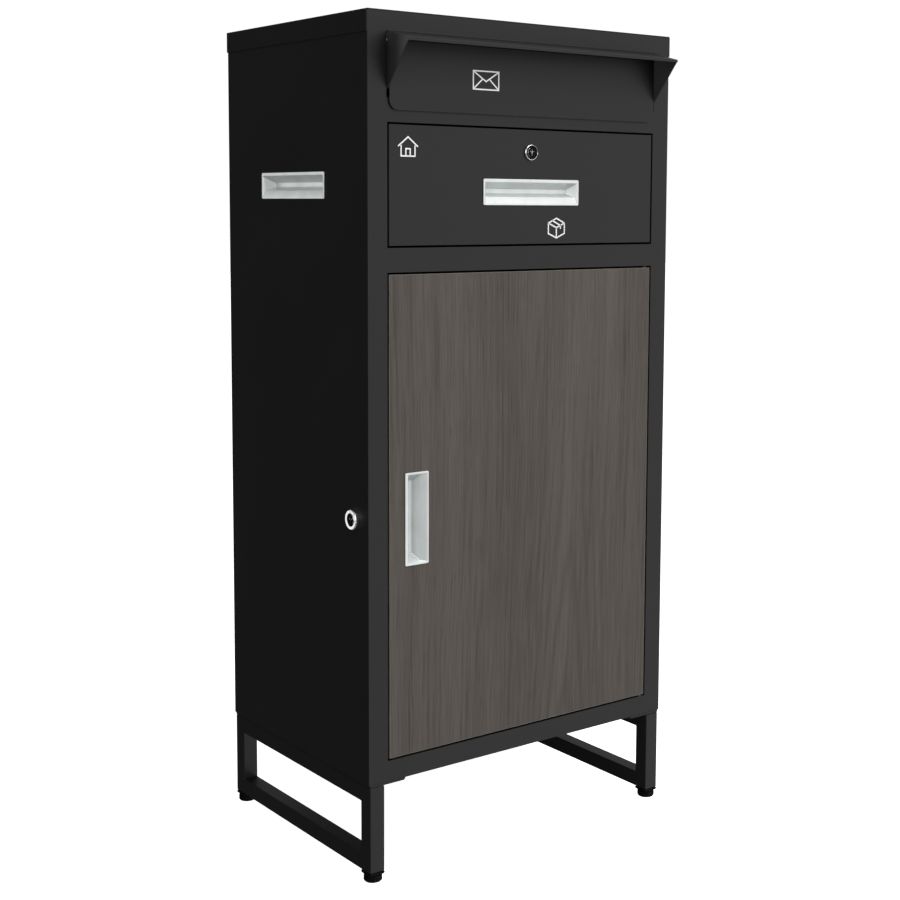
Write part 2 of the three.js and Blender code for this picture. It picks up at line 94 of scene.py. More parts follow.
class Sock:
    """A shader socket that takes part in ordinary arithmetic."""

    def __init__(self, net: "Net", socket: bpy.types.NodeSocket) -> None:
        """Wraps an output socket of a node tree."""
        self.net = net
        self.socket = socket

    def _math(self, operation: str, first: Any, second: Any) -> "Sock":
        """Adds a Math node and returns its result."""
        return self.net.node("ShaderNodeMath", {"operation": operation}, {0: first, 1: second})

    def __add__(self, other: Any) -> "Sock":
        """This value plus another."""
        return self._math("ADD", self, other)

    def __sub__(self, other: Any) -> "Sock":
        """This value minus another."""
        return self._math("SUBTRACT", self, other)

    def __rsub__(self, other: Any) -> "Sock":
        """Another value minus this one."""
        return self._math("SUBTRACT", other, self)

    def __mul__(self, other: Any) -> "Sock":
        """This value times another."""
        return self._math("MULTIPLY", self, other)

    def __pow__(self, other: Any) -> "Sock":
        """This value raised to a power."""
        return self._math("POWER", self, other)

    __radd__ = __add__
    __rmul__ = __mul__

    def sine(self) -> "Sock":
        """The sine of this value."""
        return self._math("SINE", self, 0.0)

    def size(self) -> "Sock":
        """This value without its sign."""
        return self._math("ABSOLUTE", self, 0.0)

    def ramp(self, low: float, high: float) -> "Sock":
        """A smooth step from 0 at the low value to 1 at the high one."""
        inputs = {"Value": self, "From Min": low, "From Max": high}
        return self.net.node("ShaderNodeMapRange", {"interpolation_type": "SMOOTHSTEP"}, inputs)


class Net:
    """A node tree being wired."""

    def __init__(self, tree: bpy.types.NodeTree) -> None:
        """Takes over the tree of a material or of the world, and empties it."""
        self.tree = tree
        tree.nodes.clear()

    def node(self, kind: str, settings: dict[str, Any] | None = None,
             inputs: dict[int | str, Any] | None = None, output: int | str = 0) -> Sock:
        """Adds a node.

        Args:
            kind: The node's type.
            settings: Its properties, set first. "stops" holds a colour ramp's (place, colour) pairs.
            inputs: Values or links of its sockets, by index, identifier or name.
            output: The output to return.

        Returns:
            The chosen output.
        """
        made = self.tree.nodes.new(kind)
        for key, value in (settings or {}).items():
            if key == "stops":
                self._set_stops(made.color_ramp, value)
            else:
                setattr(made, key, value)
        for key, value in (inputs or {}).items():
            socket = self._find(made.inputs, key)
            if isinstance(value, Sock):
                self.tree.links.new(value.socket, socket)
            else:
                socket.default_value = value
        return Sock(self, self._find(made.outputs, output))

    @staticmethod
    def _find(sockets: Any, key: int | str) -> bpy.types.NodeSocket:
        """Finds a socket by index, or by identifier or name among those in use.

        Args:
            sockets: A node's inputs or outputs.
            key: The index, identifier or name.

        Returns:
            The socket.
        """
        if isinstance(key, int):
            return sockets[key]
        return next(s for s in sockets if s.enabled and key in (s.identifier, s.name))

    @staticmethod
    def _set_stops(ramp: bpy.types.ColorRamp, stops: Sequence[tuple[float, Colour]]) -> None:
        """Gives a colour ramp its stops.

        Args:
            ramp: The colour ramp.
            stops: Its (place, colour) pairs.
        """
        while len(ramp.elements) < len(stops):
            ramp.elements.new(1.0)
        for element, (place, colour) in zip(ramp.elements, stops):
            element.position = place
            element.color = (*colour, 1.0)

    def place(self) -> Sock:
        """The point on the piece, in metres of the row frame at rest."""
        return self.node("ShaderNodeTexCoord", output="Object")

    def axis(self, point: Sock, name: str) -> Sock:
        """One coordinate of a point: X, Y or Z."""
        return self.node("ShaderNodeSeparateXYZ", inputs={0: point}, output=name)

    def vector_math(self, operation: str, first: Sock, second: Sock | Point3, output: str = "Vector") -> Sock:
        """Combines two vectors."""
        return self.node("ShaderNodeVectorMath", {"operation": operation}, {0: first, 1: second}, output)

    def noise(self, point: Sock, scale: float | Point3, detail: float = 2.0, rough: float = 0.5) -> Sock:
        """Noise about 0.5.

        Args:
            point: Where it is read.
            scale: Cycles in each metre, the same all ways or one for each axis.
            detail: How many finer layers it has.
            rough: How strong the finer layers are.

        Returns:
            The noise value.
        """
        if isinstance(scale, tuple):
            point, scale = self.vector_math("MULTIPLY", point, scale), 1.0
        inputs = {"Vector": point, "Scale": scale, "Detail": detail, "Roughness": rough}
        return self.node("ShaderNodeTexNoise", inputs=inputs)

    def mix(self, share: Sock | float, first: Sock | Colour, second: Sock | Colour) -> Sock:
        """Blends two colours by a share from 0 to 1.

        Args:
            share: How much of the second colour there is, from 0 to 1.
            first: The colour at 0.
            second: The colour at 1.

        Returns:
            The blend.
        """
        colours = [c if isinstance(c, Sock) else (*c, 1.0) for c in (first, second)]
        inputs = {"Factor_Float": share, "A_Color": colours[0], "B_Color": colours[1]}
        return self.node("ShaderNodeMix", {"data_type": "RGBA"}, inputs, "Result_Color")

    def bump(self, height: Sock, depth: float, strength: float = 1.0) -> Sock:
        """A normal tilted by a height from 0 to 1, where 1 is as deep as the depth in metres."""
        inputs = {"Height": height, "Distance": depth, "Strength": strength}
        return self.node("ShaderNodeBump", inputs=inputs)

    def edge(self, radius: float, gain: float = 6.0) -> Sock:
        """A mask of sharp edges: for worn edges, and on the wood-grain film for a painted edge highlight.

        Args:
            radius: How far the mask reaches from an edge, in metres.
            gain: How sharply it sets in.

        Returns:
            1 on a sharp edge and 0 on a flat.
        """
        rounded = self.node("ShaderNodeBevel", {"samples": 4}, {"Radius": radius}, "Normal")
        flat = self.node("ShaderNodeNewGeometry", output="Normal")
        alike = self.vector_math("DOT_PRODUCT", rounded, flat, "Value")
        return ((1.0 - alike) * gain).ramp(0.05, 1.0)

    def shade(self, **sockets: Any) -> None:
        """Finishes the tree with one Principled shader.

        Args:
            **sockets: Its sockets, with underscores for spaces. Colours are plain triples or links.
        """
        inputs: dict[int | str, Any] = {}
        for key, value in sockets.items():
            name = key.replace("_", " ").title().replace("Ior", "IOR")
            inputs[name] = (*value, 1.0) if isinstance(value, tuple) else value
        shader = self.node("ShaderNodeBsdfPrincipled", inputs=inputs)
        self.node_output("ShaderNodeOutputMaterial", shader)

    def node_output(self, kind: str, surface: Sock) -> None:
        """Sends a shader to the tree's output node."""
        made = self.tree.nodes.new(kind)
        self.tree.links.new(surface.socket, made.inputs["Surface"])


# ---- Finishes ----


def tinted(colour: Colour, by: float) -> Colour:
    """A colour made lighter or darker."""
    red, green, blue = colour
    return red * by, green * by, blue * by


@dataclass(frozen=True)
class Finish:
    """What every finish has: a name, and the record's slot that it belongs to."""

    name: ClassVar[str] = "finish"
    slot: ClassVar[str | None] = None

    def material(self) -> bpy.types.Material:
        """The finish as a material, made the first time it is asked for."""
        known = bpy.data.materials.get(self.name)
        if known:
            return known
        made = bpy.data.materials.new(self.name)
        made.use_nodes = True
        net = Net(made.node_tree)
        self.wire(net, net.place())
        return made

    def wire(self, net: Net, here: Sock) -> None:
        """Builds the node tree.

        Args:
            net: The empty tree.
            here: The point on the piece.
        """
        raise NotImplementedError


@dataclass(frozen=True)
class PowderCoat(Finish):
    """Charcoal powder coat: a fine orange peel, soft gloss, and edges where the coat runs thin."""

    name = "charcoal_powder_coat"
    slot = "powder_coat"
    colour: Colour = (0.0060, 0.0060, 0.0062)
    thin_colour: Colour = (0.022, 0.022, 0.023)
    roughness: float = 0.47

    def wire(self, net: Net, here: Sock) -> None:
        """Builds the node tree."""
        cloud = net.noise(here, 9.0, 3.0)
        peel = net.noise(here, PEEL_SCALE, 1.5, 0.4)
        grit = net.noise(here, 2600.0, 1.0)
        wear = net.edge(0.9 * MM) * net.noise(here, 160.0, 3.0).ramp(0.38, 0.6)
        base = net.mix(cloud.ramp(0.3, 0.7), self.colour, tinted(self.colour, 1.22))
        net.shade(
            base_color=net.mix(wear * 0.45, base, self.thin_colour),
            roughness=self.roughness + (cloud - 0.5) * 0.12 + (grit - 0.5) * 0.06,
            specular_ior_level=0.31,
            normal=net.bump(peel + grit * 0.25, PEEL_DEPTH, 0.55),
        )


@dataclass(frozen=True)
class WoodgrainFilm(Finish):
    """Grey-brown wood-grain film, its grain upright, with a painted highlight along its edges that also
    stands for the film's cut edge.
    """

    name = "woodgrain_film"
    slot = "woodgrain"
    pale: Colour = (0.106, 0.092, 0.078)
    middle: Colour = (0.078, 0.067, 0.057)
    dark: Colour = (0.043, 0.037, 0.031)
    # painted highlight: the light colour of the leaf's edges, which also stands for the film's cut edge
    edge_highlight_colour: Colour = (0.42, 0.40, 0.37)
    heart: Point2 = (0.075, 0.32)
    ring_pitch: float = 260.0

    def wire(self, net: Net, here: Sock) -> None:
        """Builds the node tree."""
        across = net.axis(here, "X")
        up = net.axis(here, "Z")
        sway = (net.noise(here, (3.0, 3.0, 1.3), 2.0) - 0.5) * 0.05
        swayed = net.node("ShaderNodeCombineXYZ", inputs={0: across + sway, 2: up})
        broad = net.noise(swayed, (24.0, 1.0, 0.7), 3.0, 0.55)
        streak = net.noise(swayed, (230.0, 1.0, 3.6), 4.0, 0.65)
        fibre = net.noise(swayed, (800.0, 1.0, 14.0), 2.0, 0.7)
        pore = net.noise(swayed, (620.0, 1.0, 30.0), 1.0)
        arches = self._arches(net, across + sway, up)
        tone = net.node("ShaderNodeValToRGB", {"stops": [
            (0.39, self.dark), (0.50, self.middle), (0.61, self.pale),
        ]}, {0: broad * 0.26 + streak * 0.38 + fibre * 0.36 + 0.012})
        open_pore = pore.ramp(0.62, 0.72)
        lined = net.mix(streak.ramp(0.56, 0.70) * 0.55, tone, self.dark)
        grained = net.mix(arches * 0.40, lined, self.dark)
        flecked = net.mix(open_pore * 0.45, grained, self.dark)
        # painted highlight along the leaf's edges, partly also the film's cut edge, mixed in at 80%
        edge_highlight_mask = net.edge(0.8 * MM, 5.0) * 0.8
        relief = fibre * 0.6 + streak * 0.5 - open_pore * 0.5
        net.shade(
            base_color=net.mix(edge_highlight_mask, flecked, self.edge_highlight_colour),
            roughness=0.50 + (streak - 0.5) * 0.2 + (fibre - 0.5) * 0.1,
            specular_ior_level=0.2,
            normal=net.bump(relief, 0.05 * MM, 0.6),
        )

    def _arches(self, net: Net, across: Sock, up: Sock) -> Sock:
        """Cathedral arches about the heart of the board, from 0 to 1.

        Args:
            net: The tree.
            across: How far the point is along X.
            up: How far it is along Z.

        Returns:
            The arches' strength.
        """
        aside = across - self.heart[0]
        rise = up - self.heart[1]
        rings = aside * aside * 16.0 + aside.size() * 0.6 + rise * 0.14
        wave = ((rings * self.ring_pitch).sine() * 0.5 + 0.5) ** 3.0
        fade = 1.0 - aside.size().ramp(0.03, 0.12)
        return wave * fade * (1.0 - rise.ramp(-0.02, 0.24))


@dataclass(frozen=True)
class SatinMetal(Finish):
    """Satin silver of the pressed cups: faint drawing marks and finger-soft highlights."""

    name = "satin_silver"
    slot = "satin_metal"
    colour: Colour = (0.68, 0.71, 0.705)

    def wire(self, net: Net, here: Sock) -> None:
        """Builds the node tree."""
        drawn = net.noise(here, (60.0, 60.0, 700.0), 3.0)
        smudge = net.noise(here, 45.0, 3.0)
        wear = net.edge(0.7 * MM, 5.0)
        base = net.mix(smudge.ramp(0.3, 0.75) * 0.5, self.colour, tinted(self.colour, 0.8))
        net.shade(
            base_color=net.mix(wear * 0.5, base, (0.86, 0.87, 0.88)),
            metallic=0.5,
            roughness=0.36 + (smudge - 0.5) * 0.16 + (drawn - 0.5) * 0.1,
            normal=net.bump(drawn, 0.02 * MM, 0.5),
        )


@dataclass(frozen=True)
class Chrome(Finish):
    """Polished chrome of the lock faces, with fine handling scratches."""

    name = "polished_chrome"
    slot = "chrome"
    colour: Colour = (0.80, 0.81, 0.82)

    def wire(self, net: Net, here: Sock) -> None:
        """Builds the node tree."""
        haze = net.noise(here, 260.0, 3.0)
        scratch = net.noise(here, (2400.0, 300.0, 900.0), 2.0)
        net.shade(
            base_color=net.mix(haze.ramp(0.35, 0.75) * 0.3, self.colour, (0.55, 0.56, 0.58)),
            metallic=1.0,
            roughness=0.12 + haze.ramp(0.3, 0.8) * 0.1 + scratch.ramp(0.58, 0.7) * 0.12,
            normal=net.bump(scratch, 0.01 * MM, 0.4),
        )


@dataclass(frozen=True)
class ZincPlate(Finish):
    """Zinc plate of the slides, cams and inner sheets: a faint spangle and dull patches."""

    name = "zinc_plate"
    slot = "zinc_steel"
    colour: Colour = (0.50, 0.51, 0.52)

    def wire(self, net: Net, here: Sock) -> None:
        """Builds the node tree."""
        cells = {"Vector": here, "Scale": 90.0}
        spangle = net.node("ShaderNodeTexVoronoi", inputs=cells, output="Color")
        tint = net.node("ShaderNodeSeparateColor", inputs={0: spangle})
        cloud = net.noise(here, 30.0, 4.0)
        net.shade(
            base_color=net.mix(tint * 0.35 + cloud * 0.3, self.colour, tinted(self.colour, 0.72)),
            metallic=0.6,
            roughness=0.42 + (tint - 0.5) * 0.1 + (cloud - 0.5) * 0.16,
            normal=net.bump(cloud, 0.05 * MM, 0.35),
        )


@dataclass(frozen=True)
class DarkenedZinc(ZincPlate):
    """Zinc plate made much darker, for the door's pivot pins."""

    name = "greased_zinc"
    # a colour much darker than plain zinc plate
    colour: Colour = (0.045, 0.044, 0.043)


@dataclass(frozen=True)
class BlackPlastic(Finish):
    """Moulded black plastic with a spark-eroded grain."""

    name = "moulded_black_plastic"
    slot = "black_plastic"
    colour: Colour = (0.0025, 0.0025, 0.0027)

    def wire(self, net: Net, here: Sock) -> None:
        """Builds the node tree."""
        grain = net.noise(here, 1500.0, 2.0)
        scuff = net.noise(here, 120.0, 4.0).ramp(0.55, 0.75)
        wear = net.edge(0.8 * MM) * scuff
        net.shade(
            base_color=net.mix(wear * 0.5 + scuff * 0.05, self.colour, (0.03, 0.03, 0.032)),
            roughness=0.50 + (grain - 0.5) * 0.2 + scuff * 0.12,
            specular_ior_level=0.07,
            normal=net.bump(grain, 0.05 * MM, 0.6),
        )


@dataclass(frozen=True)
class Nylon(Finish):
    """Grey nylon of the pivot washer."""

    name = "grey_nylon"
    slot = "nylon"

    def wire(self, net: Net, here: Sock) -> None:
        """Builds the node tree."""
        cloud = net.noise(here, 300.0, 3.0)
        net.shade(
            base_color=net.mix(cloud, (0.035, 0.035, 0.036), (0.022, 0.022, 0.023)),
            roughness=0.45 + (cloud - 0.5) * 0.2,
            normal=net.bump(cloud, 0.04 * MM, 0.4),
        )


@dataclass(frozen=True)
class WhitePrint(Finish):
    """Screen-printed white ink, a little uneven over the powder coat's peel."""

    name = "white_print"

    def wire(self, net: Net, here: Sock) -> None:
        """Builds the node tree."""
        peel = net.noise(here, PEEL_SCALE, 1.5, 0.4)
        patch = net.noise(here, 240.0, 3.0)
        net.shade(
            base_color=net.mix(patch.ramp(0.4, 0.8) * 0.4, (0.88, 0.88, 0.87), (0.7, 0.7, 0.69)),
            roughness=0.45 + (patch - 0.5) * 0.2,
            normal=net.bump(peel, PEEL_DEPTH, 0.5),
        )


@dataclass(frozen=True)
class PaleFloor(Finish):
    """The studio floor: pale, matt, and lit from within so that no shadow darkens it."""

    name = "pale_floor"

    def wire(self, net: Net, here: Sock) -> None:
        """Builds the node tree."""
        speck = net.noise(here, 40.0, 3.0)
        net.shade(
            base_color=net.mix(speck * 0.2, (0.86, 0.86, 0.86), (0.80, 0.80, 0.80)),
            roughness=0.8 + (speck - 0.5) * 0.1,
            emission_color=(1.0, 1.0, 1.0),
            emission_strength=0.92,
        )


# ---- Outlines and places ----


class Facing(Enum):
    """Which way a fitting looks: its own +X, +Y and +Z. +Z comes towards the viewer and +Y mostly up."""

    FRONT = ((1, 0, 0), (0, 0, 1), (0, -1, 0))
    BACK = ((-1, 0, 0), (0, 0, 1), (0, 1, 0))
    LEFT = ((0, -1, 0), (0, 0, 1), (-1, 0, 0))
    RIGHT = ((0, 1, 0), (0, 0, 1), (1, 0, 0))
    UP = ((1, 0, 0), (0, 1, 0), (0, 0, 1))
    DOWN = ((1, 0, 0), (0, -1, 0), (0, 0, -1))

    def at(self, point: Sequence[float], turn: float = 0.0) -> Matrix:
        """The matrix from a fitting's own axes to a point of the part, turned about its own +Z in radians."""
        turned = Matrix(self.value).transposed().to_4x4() @ Matrix.Rotation(turn, 4, "Z")
        return Matrix.Translation(point) @ turned


def on_sheet(node: str, facing: Facing, proud: float, turn: float = 0.0) -> Matrix:
    """The place of a fitting that sits in a hole of a sheet.

    Args:
        node: The fitting's CAD node.
        facing: Which way it looks.
        proud: How far it stands out from the sheet.
        turn: A turn about its own +Z, in radians.

    Returns:
        The matrix from the fitting's own axes, whose height 0 is the sheet's face.
    """
    low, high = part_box(node)
    middle = (low + high) / 2
    if facing is Facing.FRONT:
        middle.y = low.y + proud
    elif facing is Facing.LEFT:
        middle.x = low.x + proud
    else:
        middle.x = high.x - proud
    return facing.at(middle, turn)


def ring(radius: float, height: float, sides: int = 48) -> list[Point3]:
    """A circle of points about Z."""
    steps = [2 * math.pi * i / sides for i in range(sides)]
    return [(radius * math.cos(a), radius * math.sin(a), height) for a in steps]


def rectangle(left: float, right: float, low: float, high: float) -> list[Point2]:
    """A rectangle's corners, anticlockwise from the lower left."""
    return [(left, low), (right, low), (right, high), (left, high)]


def soft_rectangle(left: float, right: float, low: float, high: float, radius: float, height: float,
                   steps: int = 4) -> list[Point3]:
    """A rectangle with round corners.

    Args:
        left: Its lowest X.
        right: Its highest X.
        low: Its lowest Y.
        high: Its highest Y.
        radius: The corners' radius.
        height: Its Z.
        steps: How many chords a corner has.

    Returns:
        The points, anticlockwise from the lower right corner.
    """
    centres = [(right, low, -0.5), (right, high, 0.0), (left, high, 0.5), (left, low, 1.0)]
    points = []
    for x, y, start in centres:
        cx = x - math.copysign(radius, x - (left + right) / 2)
        cy = y - math.copysign(radius, y - (low + high) / 2)
        for i in range(steps + 1):
            a = math.pi * (start + 0.5 * i / steps)
            points.append((cx + radius * math.cos(a), cy + radius * math.sin(a), height))
    return points


def spread(first: float, last: float, count: int) -> list[float]:
    """Evenly spaced values from the first to the last."""
    return [first + (last - first) * i / (count - 1) for i in range(count)]


def beside_path(path: Sequence[Point2], distance: float, closed: bool) -> list[Point2]:
    """A path moved sideways, with mitred corners.

    Args:
        path: The points of the path.
        distance: How far to the left it moves.
        closed: Whether the path returns to its start.

    Returns:
        The moved points.
    """
    count = len(path)
    moved = []
    for i, point in enumerate(path):
        here = Vector(point)
        before = Vector(path[i - 1]) if closed or i else here
        after = Vector(path[(i + 1) % count]) if closed or i < count - 1 else here
        ways = [way.normalized() for way in (here - before, after - here) if way.length > 0]
        sides = [Vector((-way.y, way.x)) for way in ways]
        middle = sum(sides, Vector((0.0, 0.0))).normalized()
        moved.append(tuple(here + middle * (distance / max(middle.dot(sides[0]), MITRE_LIMIT))))
    return moved


# ---- Making pieces ----


class Workpiece:
    """A mesh being made, in the row frame."""

    def __init__(self, name: str) -> None:
        """Starts an empty piece.

        Args:
            name: The piece's name.
        """
        self.name = name
        self.shape = bmesh.new()
        self.edge_width = 0.0
        self.edge_steps = 2

    def loft(self, rings: Sequence[Sequence[Point3]], place: Matrix | None = None,
             closed: bool = False, floored: bool = False) -> "Workpiece":
        """Skins rings of points one after another.

        Args:
            rings: The rings, all with as many points.
            place: Where they go.
            closed: Whether the last ring joins the first, as round a tube.
            floored: Whether only the last ring is filled, as in a dish, and not both ends.

        Returns:
            The piece itself.
        """
        place = place or Matrix.Identity(4)
        new = self.shape.verts.new
        rows = [[new(place @ Vector(point)) for point in points] for points in rings]
        pairs = list(zip(rows, rows[1:])) + ([(rows[-1], rows[0])] if closed else [])
        count = len(rows[0])
        for first, second in pairs:
            for i in range(count):
                j = (i + 1) % count
                self.shape.faces.new((first[i], first[j], second[j], second[i]))
        if not closed:
            self.shape.faces.new(rows[-1])
            if not floored:
                self.shape.faces.new(rows[0])
        return self

    def prism(self, outline: Sequence[Point2], low: float, high: float,
              place: Matrix | None = None) -> "Workpiece":
        """Extrudes a flat outline between two heights."""
        return self.loft([[(u, v, w) for u, v in outline] for w in (low, high)], place)

    def turned(self, profile: Sequence[Point2], place: Matrix | None = None,
               sides: int = 48, hollow: bool = False) -> "Workpiece":
        """Turns a profile of (radius, height) points about Z, or a closed loop of them if hollow."""
        return self.loft([ring(r, h, sides) for r, h in profile], place, closed=hollow)

    def ribbon(self, path: Sequence[Point2], width: float, low: float, high: float,
               place: Matrix, closed: bool = False) -> "Workpiece":
        """A flat band of even width along a path, between two heights.

        Args:
            path: The band's middle line.
            width: Its width.
            low: The height of its underside.
            high: The height of its top.
            place: Where it goes.
            closed: Whether the path returns to its start.

        Returns:
            The piece itself.
        """
        sides = [beside_path(path, way * width / 2, closed) for way in (-1, 1)]
        if closed:
            corners = [(side, w) for side, w in ((0, low), (0, high), (1, high), (1, low))]
            return self.loft([[(u, v, w) for u, v in sides[s]] for s, w in corners], place, closed=True)
        return self.prism([*sides[0], *reversed(sides[1])], low, high, place)

    def fold(self, low: Vector, high: Vector, missing: Iterable[Facing], radius: float) -> "Workpiece":
        """A tray of folded sheet: a box without some of its sides, its folds rounded.

        Args:
            low: The box's lowest corner.
            high: Its highest corner.
            missing: The sides left open.
            radius: The outer radius of the folds.

        Returns:
            The piece itself.
        """
        made = bmesh.ops.create_cube(self.shape, size=1.0)["verts"]
        for vertex in made:
            vertex.co = [low[i] if vertex.co[i] < 0 else high[i] for i in range(3)]
        self.shape.normal_update()
        open_ways = [Vector(side.value[2]) for side in missing]
        unwanted = [f for f in self.shape.faces if any(f.normal.dot(way) > 0.9 for way in open_ways)]
        bmesh.ops.delete(self.shape, geom=unwanted, context="FACES")
        folds = [e for e in self.shape.edges if len(e.link_faces) == 2]
        bmesh.ops.bevel(self.shape, geom=folds, offset=radius, segments=4, profile=0.5, affect="EDGES")
        return self

    def add_copies(self, source: "Workpiece", places: Iterable[Matrix]) -> "Workpiece":
        """Adds a copy of another workpiece at each place.

        Args:
            source: The workpiece to copy.
            places: Where the copies go.

        Returns:
            The piece itself.
        """
        mesh = bpy.data.meshes.new("copy")
        source.shape.to_mesh(mesh)
        for place in places:
            start = len(self.shape.verts)
            self.shape.from_mesh(mesh)
            self.shape.verts.ensure_lookup_table()
            bmesh.ops.transform(self.shape, matrix=place, verts=self.shape.verts[start:])
        bpy.data.meshes.remove(mesh)
        return self

    def thicken(self, depth: float) -> "Workpiece":
        """Gives a surface thickness behind its face."""
        bmesh.ops.recalc_face_normals(self.shape, faces=self.shape.faces)
        return self._apply("SOLIDIFY", thickness=depth, offset=-1.0, use_even_offset=True)

    def cut(self, tool: "Workpiece") -> "Workpiece":
        """Takes another workpiece's solid away from this one.

        Args:
            tool: What is taken away.

        Returns:
            The piece itself.
        """
        other = tool.bare_object()
        self._apply("BOOLEAN", object=other, operation="DIFFERENCE", solver="EXACT")
        bpy.data.objects.remove(other)
        return self

    def ease_edges(self, width: float, steps: int = 2) -> "Workpiece":
        """Asks for rounded edges of a width, which hang() makes.

        Args:
            width: The rounding's width, in metres.
            steps: How many facets it has.

        Returns:
            The piece itself.
        """
        self.edge_width = width
        self.edge_steps = steps
        return self

    def bare_object(self) -> bpy.types.Object:
        """The shape as a scene object with closed, outward faces."""
        bmesh.ops.recalc_face_normals(self.shape, faces=self.shape.faces)
        mesh = bpy.data.meshes.new(self.name)
        self.shape.to_mesh(mesh)
        made = bpy.data.objects.new(self.name, mesh)
        bpy.context.scene.collection.objects.link(made)
        return made

    def _apply(self, kind: str, **settings: Any) -> "Workpiece":
        """Runs one modifier over the shape.

        Args:
            kind: The modifier's type.
            **settings: Its properties.

        Returns:
            The piece itself.
        """
        holder = self.bare_object()
        modifier = holder.modifiers.new(kind, kind)
        for key, value in settings.items():
            setattr(modifier, key, value)
        graph = bpy.context.evaluated_depsgraph_get()
        mesh = bpy.data.meshes.new_from_object(holder.evaluated_get(graph))
        self.shape.free()
        self.shape = bmesh.new()
        self.shape.from_mesh(mesh)
        bpy.data.objects.remove(holder)
        bpy.data.meshes.remove(mesh)
        return self

    def hang(self, finish: Finish, beside: str, stands_for: Sequence[str] = ()) -> bpy.types.Object:
        """Turns the workpiece into a finished piece of the part.

        Args:
            finish: What it is coated with.
            beside: A CAD node; the piece moves with that node's body.
            stands_for: The CAD nodes that it replaces.

        Returns:
            The finished object.
        """
        made = self.bare_object()
        self.shape.free()
        made.data.shade_smooth()
        made.data.materials.append(finish.material())
        round_edges(made, self.edge_width, self.edge_steps)
        body = frame["nodes"][beside]["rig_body"]
        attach(made, body)
        if stands_for:
            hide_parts(*stands_for)
        log.info("made %s, which moves with %s", self.name, body)
        return made


def round_edges(made: bpy.types.Object, width: float, steps: int = 2) -> None:
    """Rounds an object's edges and keeps its flats flat.

    Args:
        made: The object.
        width: The rounding's width, in metres, or 0 for none.
        steps: How many facets it has.
    """
    if width > 0:
        bevel = made.modifiers.new("edges", "BEVEL")
        bevel.width = width
        bevel.segments = steps
        bevel.limit_method = "ANGLE"
        bevel.angle_limit = SHARP_ANGLE
        bevel.harden_normals = False
    normals = made.modifiers.new("flats", "WEIGHTED_NORMAL")
    normals.weight = 100
    normals.keep_sharp = True


def keep_nodes(finish: Finish, width: float, names: Iterable[str]) -> None:
    """Keeps CAD nodes whose shape is right: welds them, rounds their edges and gives them a finish.

    Args:
        finish: What they are coated with.
        width: The rounding's width, in metres.
        names: The nodes.
    """
    for name in names:
        node = frame["nodes"][name]
        node.data.materials.clear()
        node.data.materials.append(finish.material())
        node.data.shade_smooth()
        weld = node.modifiers.new("weld", "WELD")
        weld.merge_threshold = WELD_GAP
        flats = node.modifiers.new("whole_flats", "DECIMATE")
        flats.decimate_type = "DISSOLVE"
        flats.angle_limit = FLAT_ANGLE
        round_edges(node, width)
        log.info("kept %s in %s", name, finish.name)


# ---- Fixings ----


@dataclass(frozen=True)
class Fixings:
    """Screws, bolts and rivets, each row of them one piece."""

    screw_radius: float = 3.6 * MM
    screw_height: float = 1.5 * MM
    bolt_radius: float = 4.6 * MM
    bolt_height: float = 3.0 * MM
    rivet_radius: float = 2.6 * MM
    rivet_height: float = 0.9 * MM

    @staticmethod
    def _turned(name: str, radius: float, height: float, shares: Sequence[Point2], sides: int) -> Workpiece:
        """A turned head, its profile given in shares of its radius and height."""
        return Workpiece(name).turned([(a * radius, b * height) for a, b in shares], sides=sides)

    def screw(self) -> Workpiece:
        """A pan head with a cross recess, its seat at height 0."""
        r, h = self.screw_radius, self.screw_height
        profile = [(1, -0.2), (1, 0.35), (0.86, 0.75), (0.6, 1), (0.1, 1.05)]
        head = self._turned("screw", r, h, profile, 24)
        arm, width = 0.58 * r, 0.13 * r
        for long_x, long_y in ((arm, width), (width, arm)):
            outline = rectangle(-long_x, long_x, -long_y, long_y)
            head.cut(Workpiece("slot").prism(outline, 0.45 * h, 2 * h))
        return head

    def bolt(self) -> Workpiece:
        """A button head with a hexagon socket, its seat at height 0."""
        r, h = self.bolt_radius, self.bolt_height
        profile = [(1, -0.1), (1, 0.25), (0.9, 0.6), (0.68, 0.9), (0.45, 1)]
        head = self._turned("bolt", r, h, profile, 32)
        return head.cut(self._turned("socket", r, h, [(0.36, 0.35), (0.36, 1.5)], 6))

    def nut(self) -> Workpiece:
        """A flanged hexagon nut with the bolt's end in it, its seat at height 0."""
        r, h = self.bolt_radius, self.bolt_height
        nut = self._turned("nut", r, h, [(1.25, 0), (1.2, 0.25), (0.95, 0.4)], 32)
        nut.loft([ring(a * r, b * h, 6) for a, b in ((0.98, 0.3), (0.98, 1.15), (0.86, 1.3))])
        return nut.turned([(a * r, b * h) for a, b in ((0.5, 0.2), (0.5, 1.7), (0.4, 1.85))], sides=20)

    def rivet(self) -> Workpiece:
        """A blind rivet's domed head with its hollow centre, its seat at height 0."""
        profile = [(1, -0.2), (1, 0.2), (0.8, 0.8), (0.5, 1), (0.34, 0.9), (0.3, 0.2)]
        return self._turned("rivet", self.rivet_radius, self.rivet_height, profile, 24)

    @staticmethod
    def row(name: str, kind: Workpiece, places: Iterable[Matrix], finish: Finish, beside: str) -> None:
        """Hangs a row of one kind of fixing as one piece."""
        Workpiece(name).add_copies(kind, places).hang(finish, beside)


FIXINGS = Fixings()


# ---- Cup handles ----


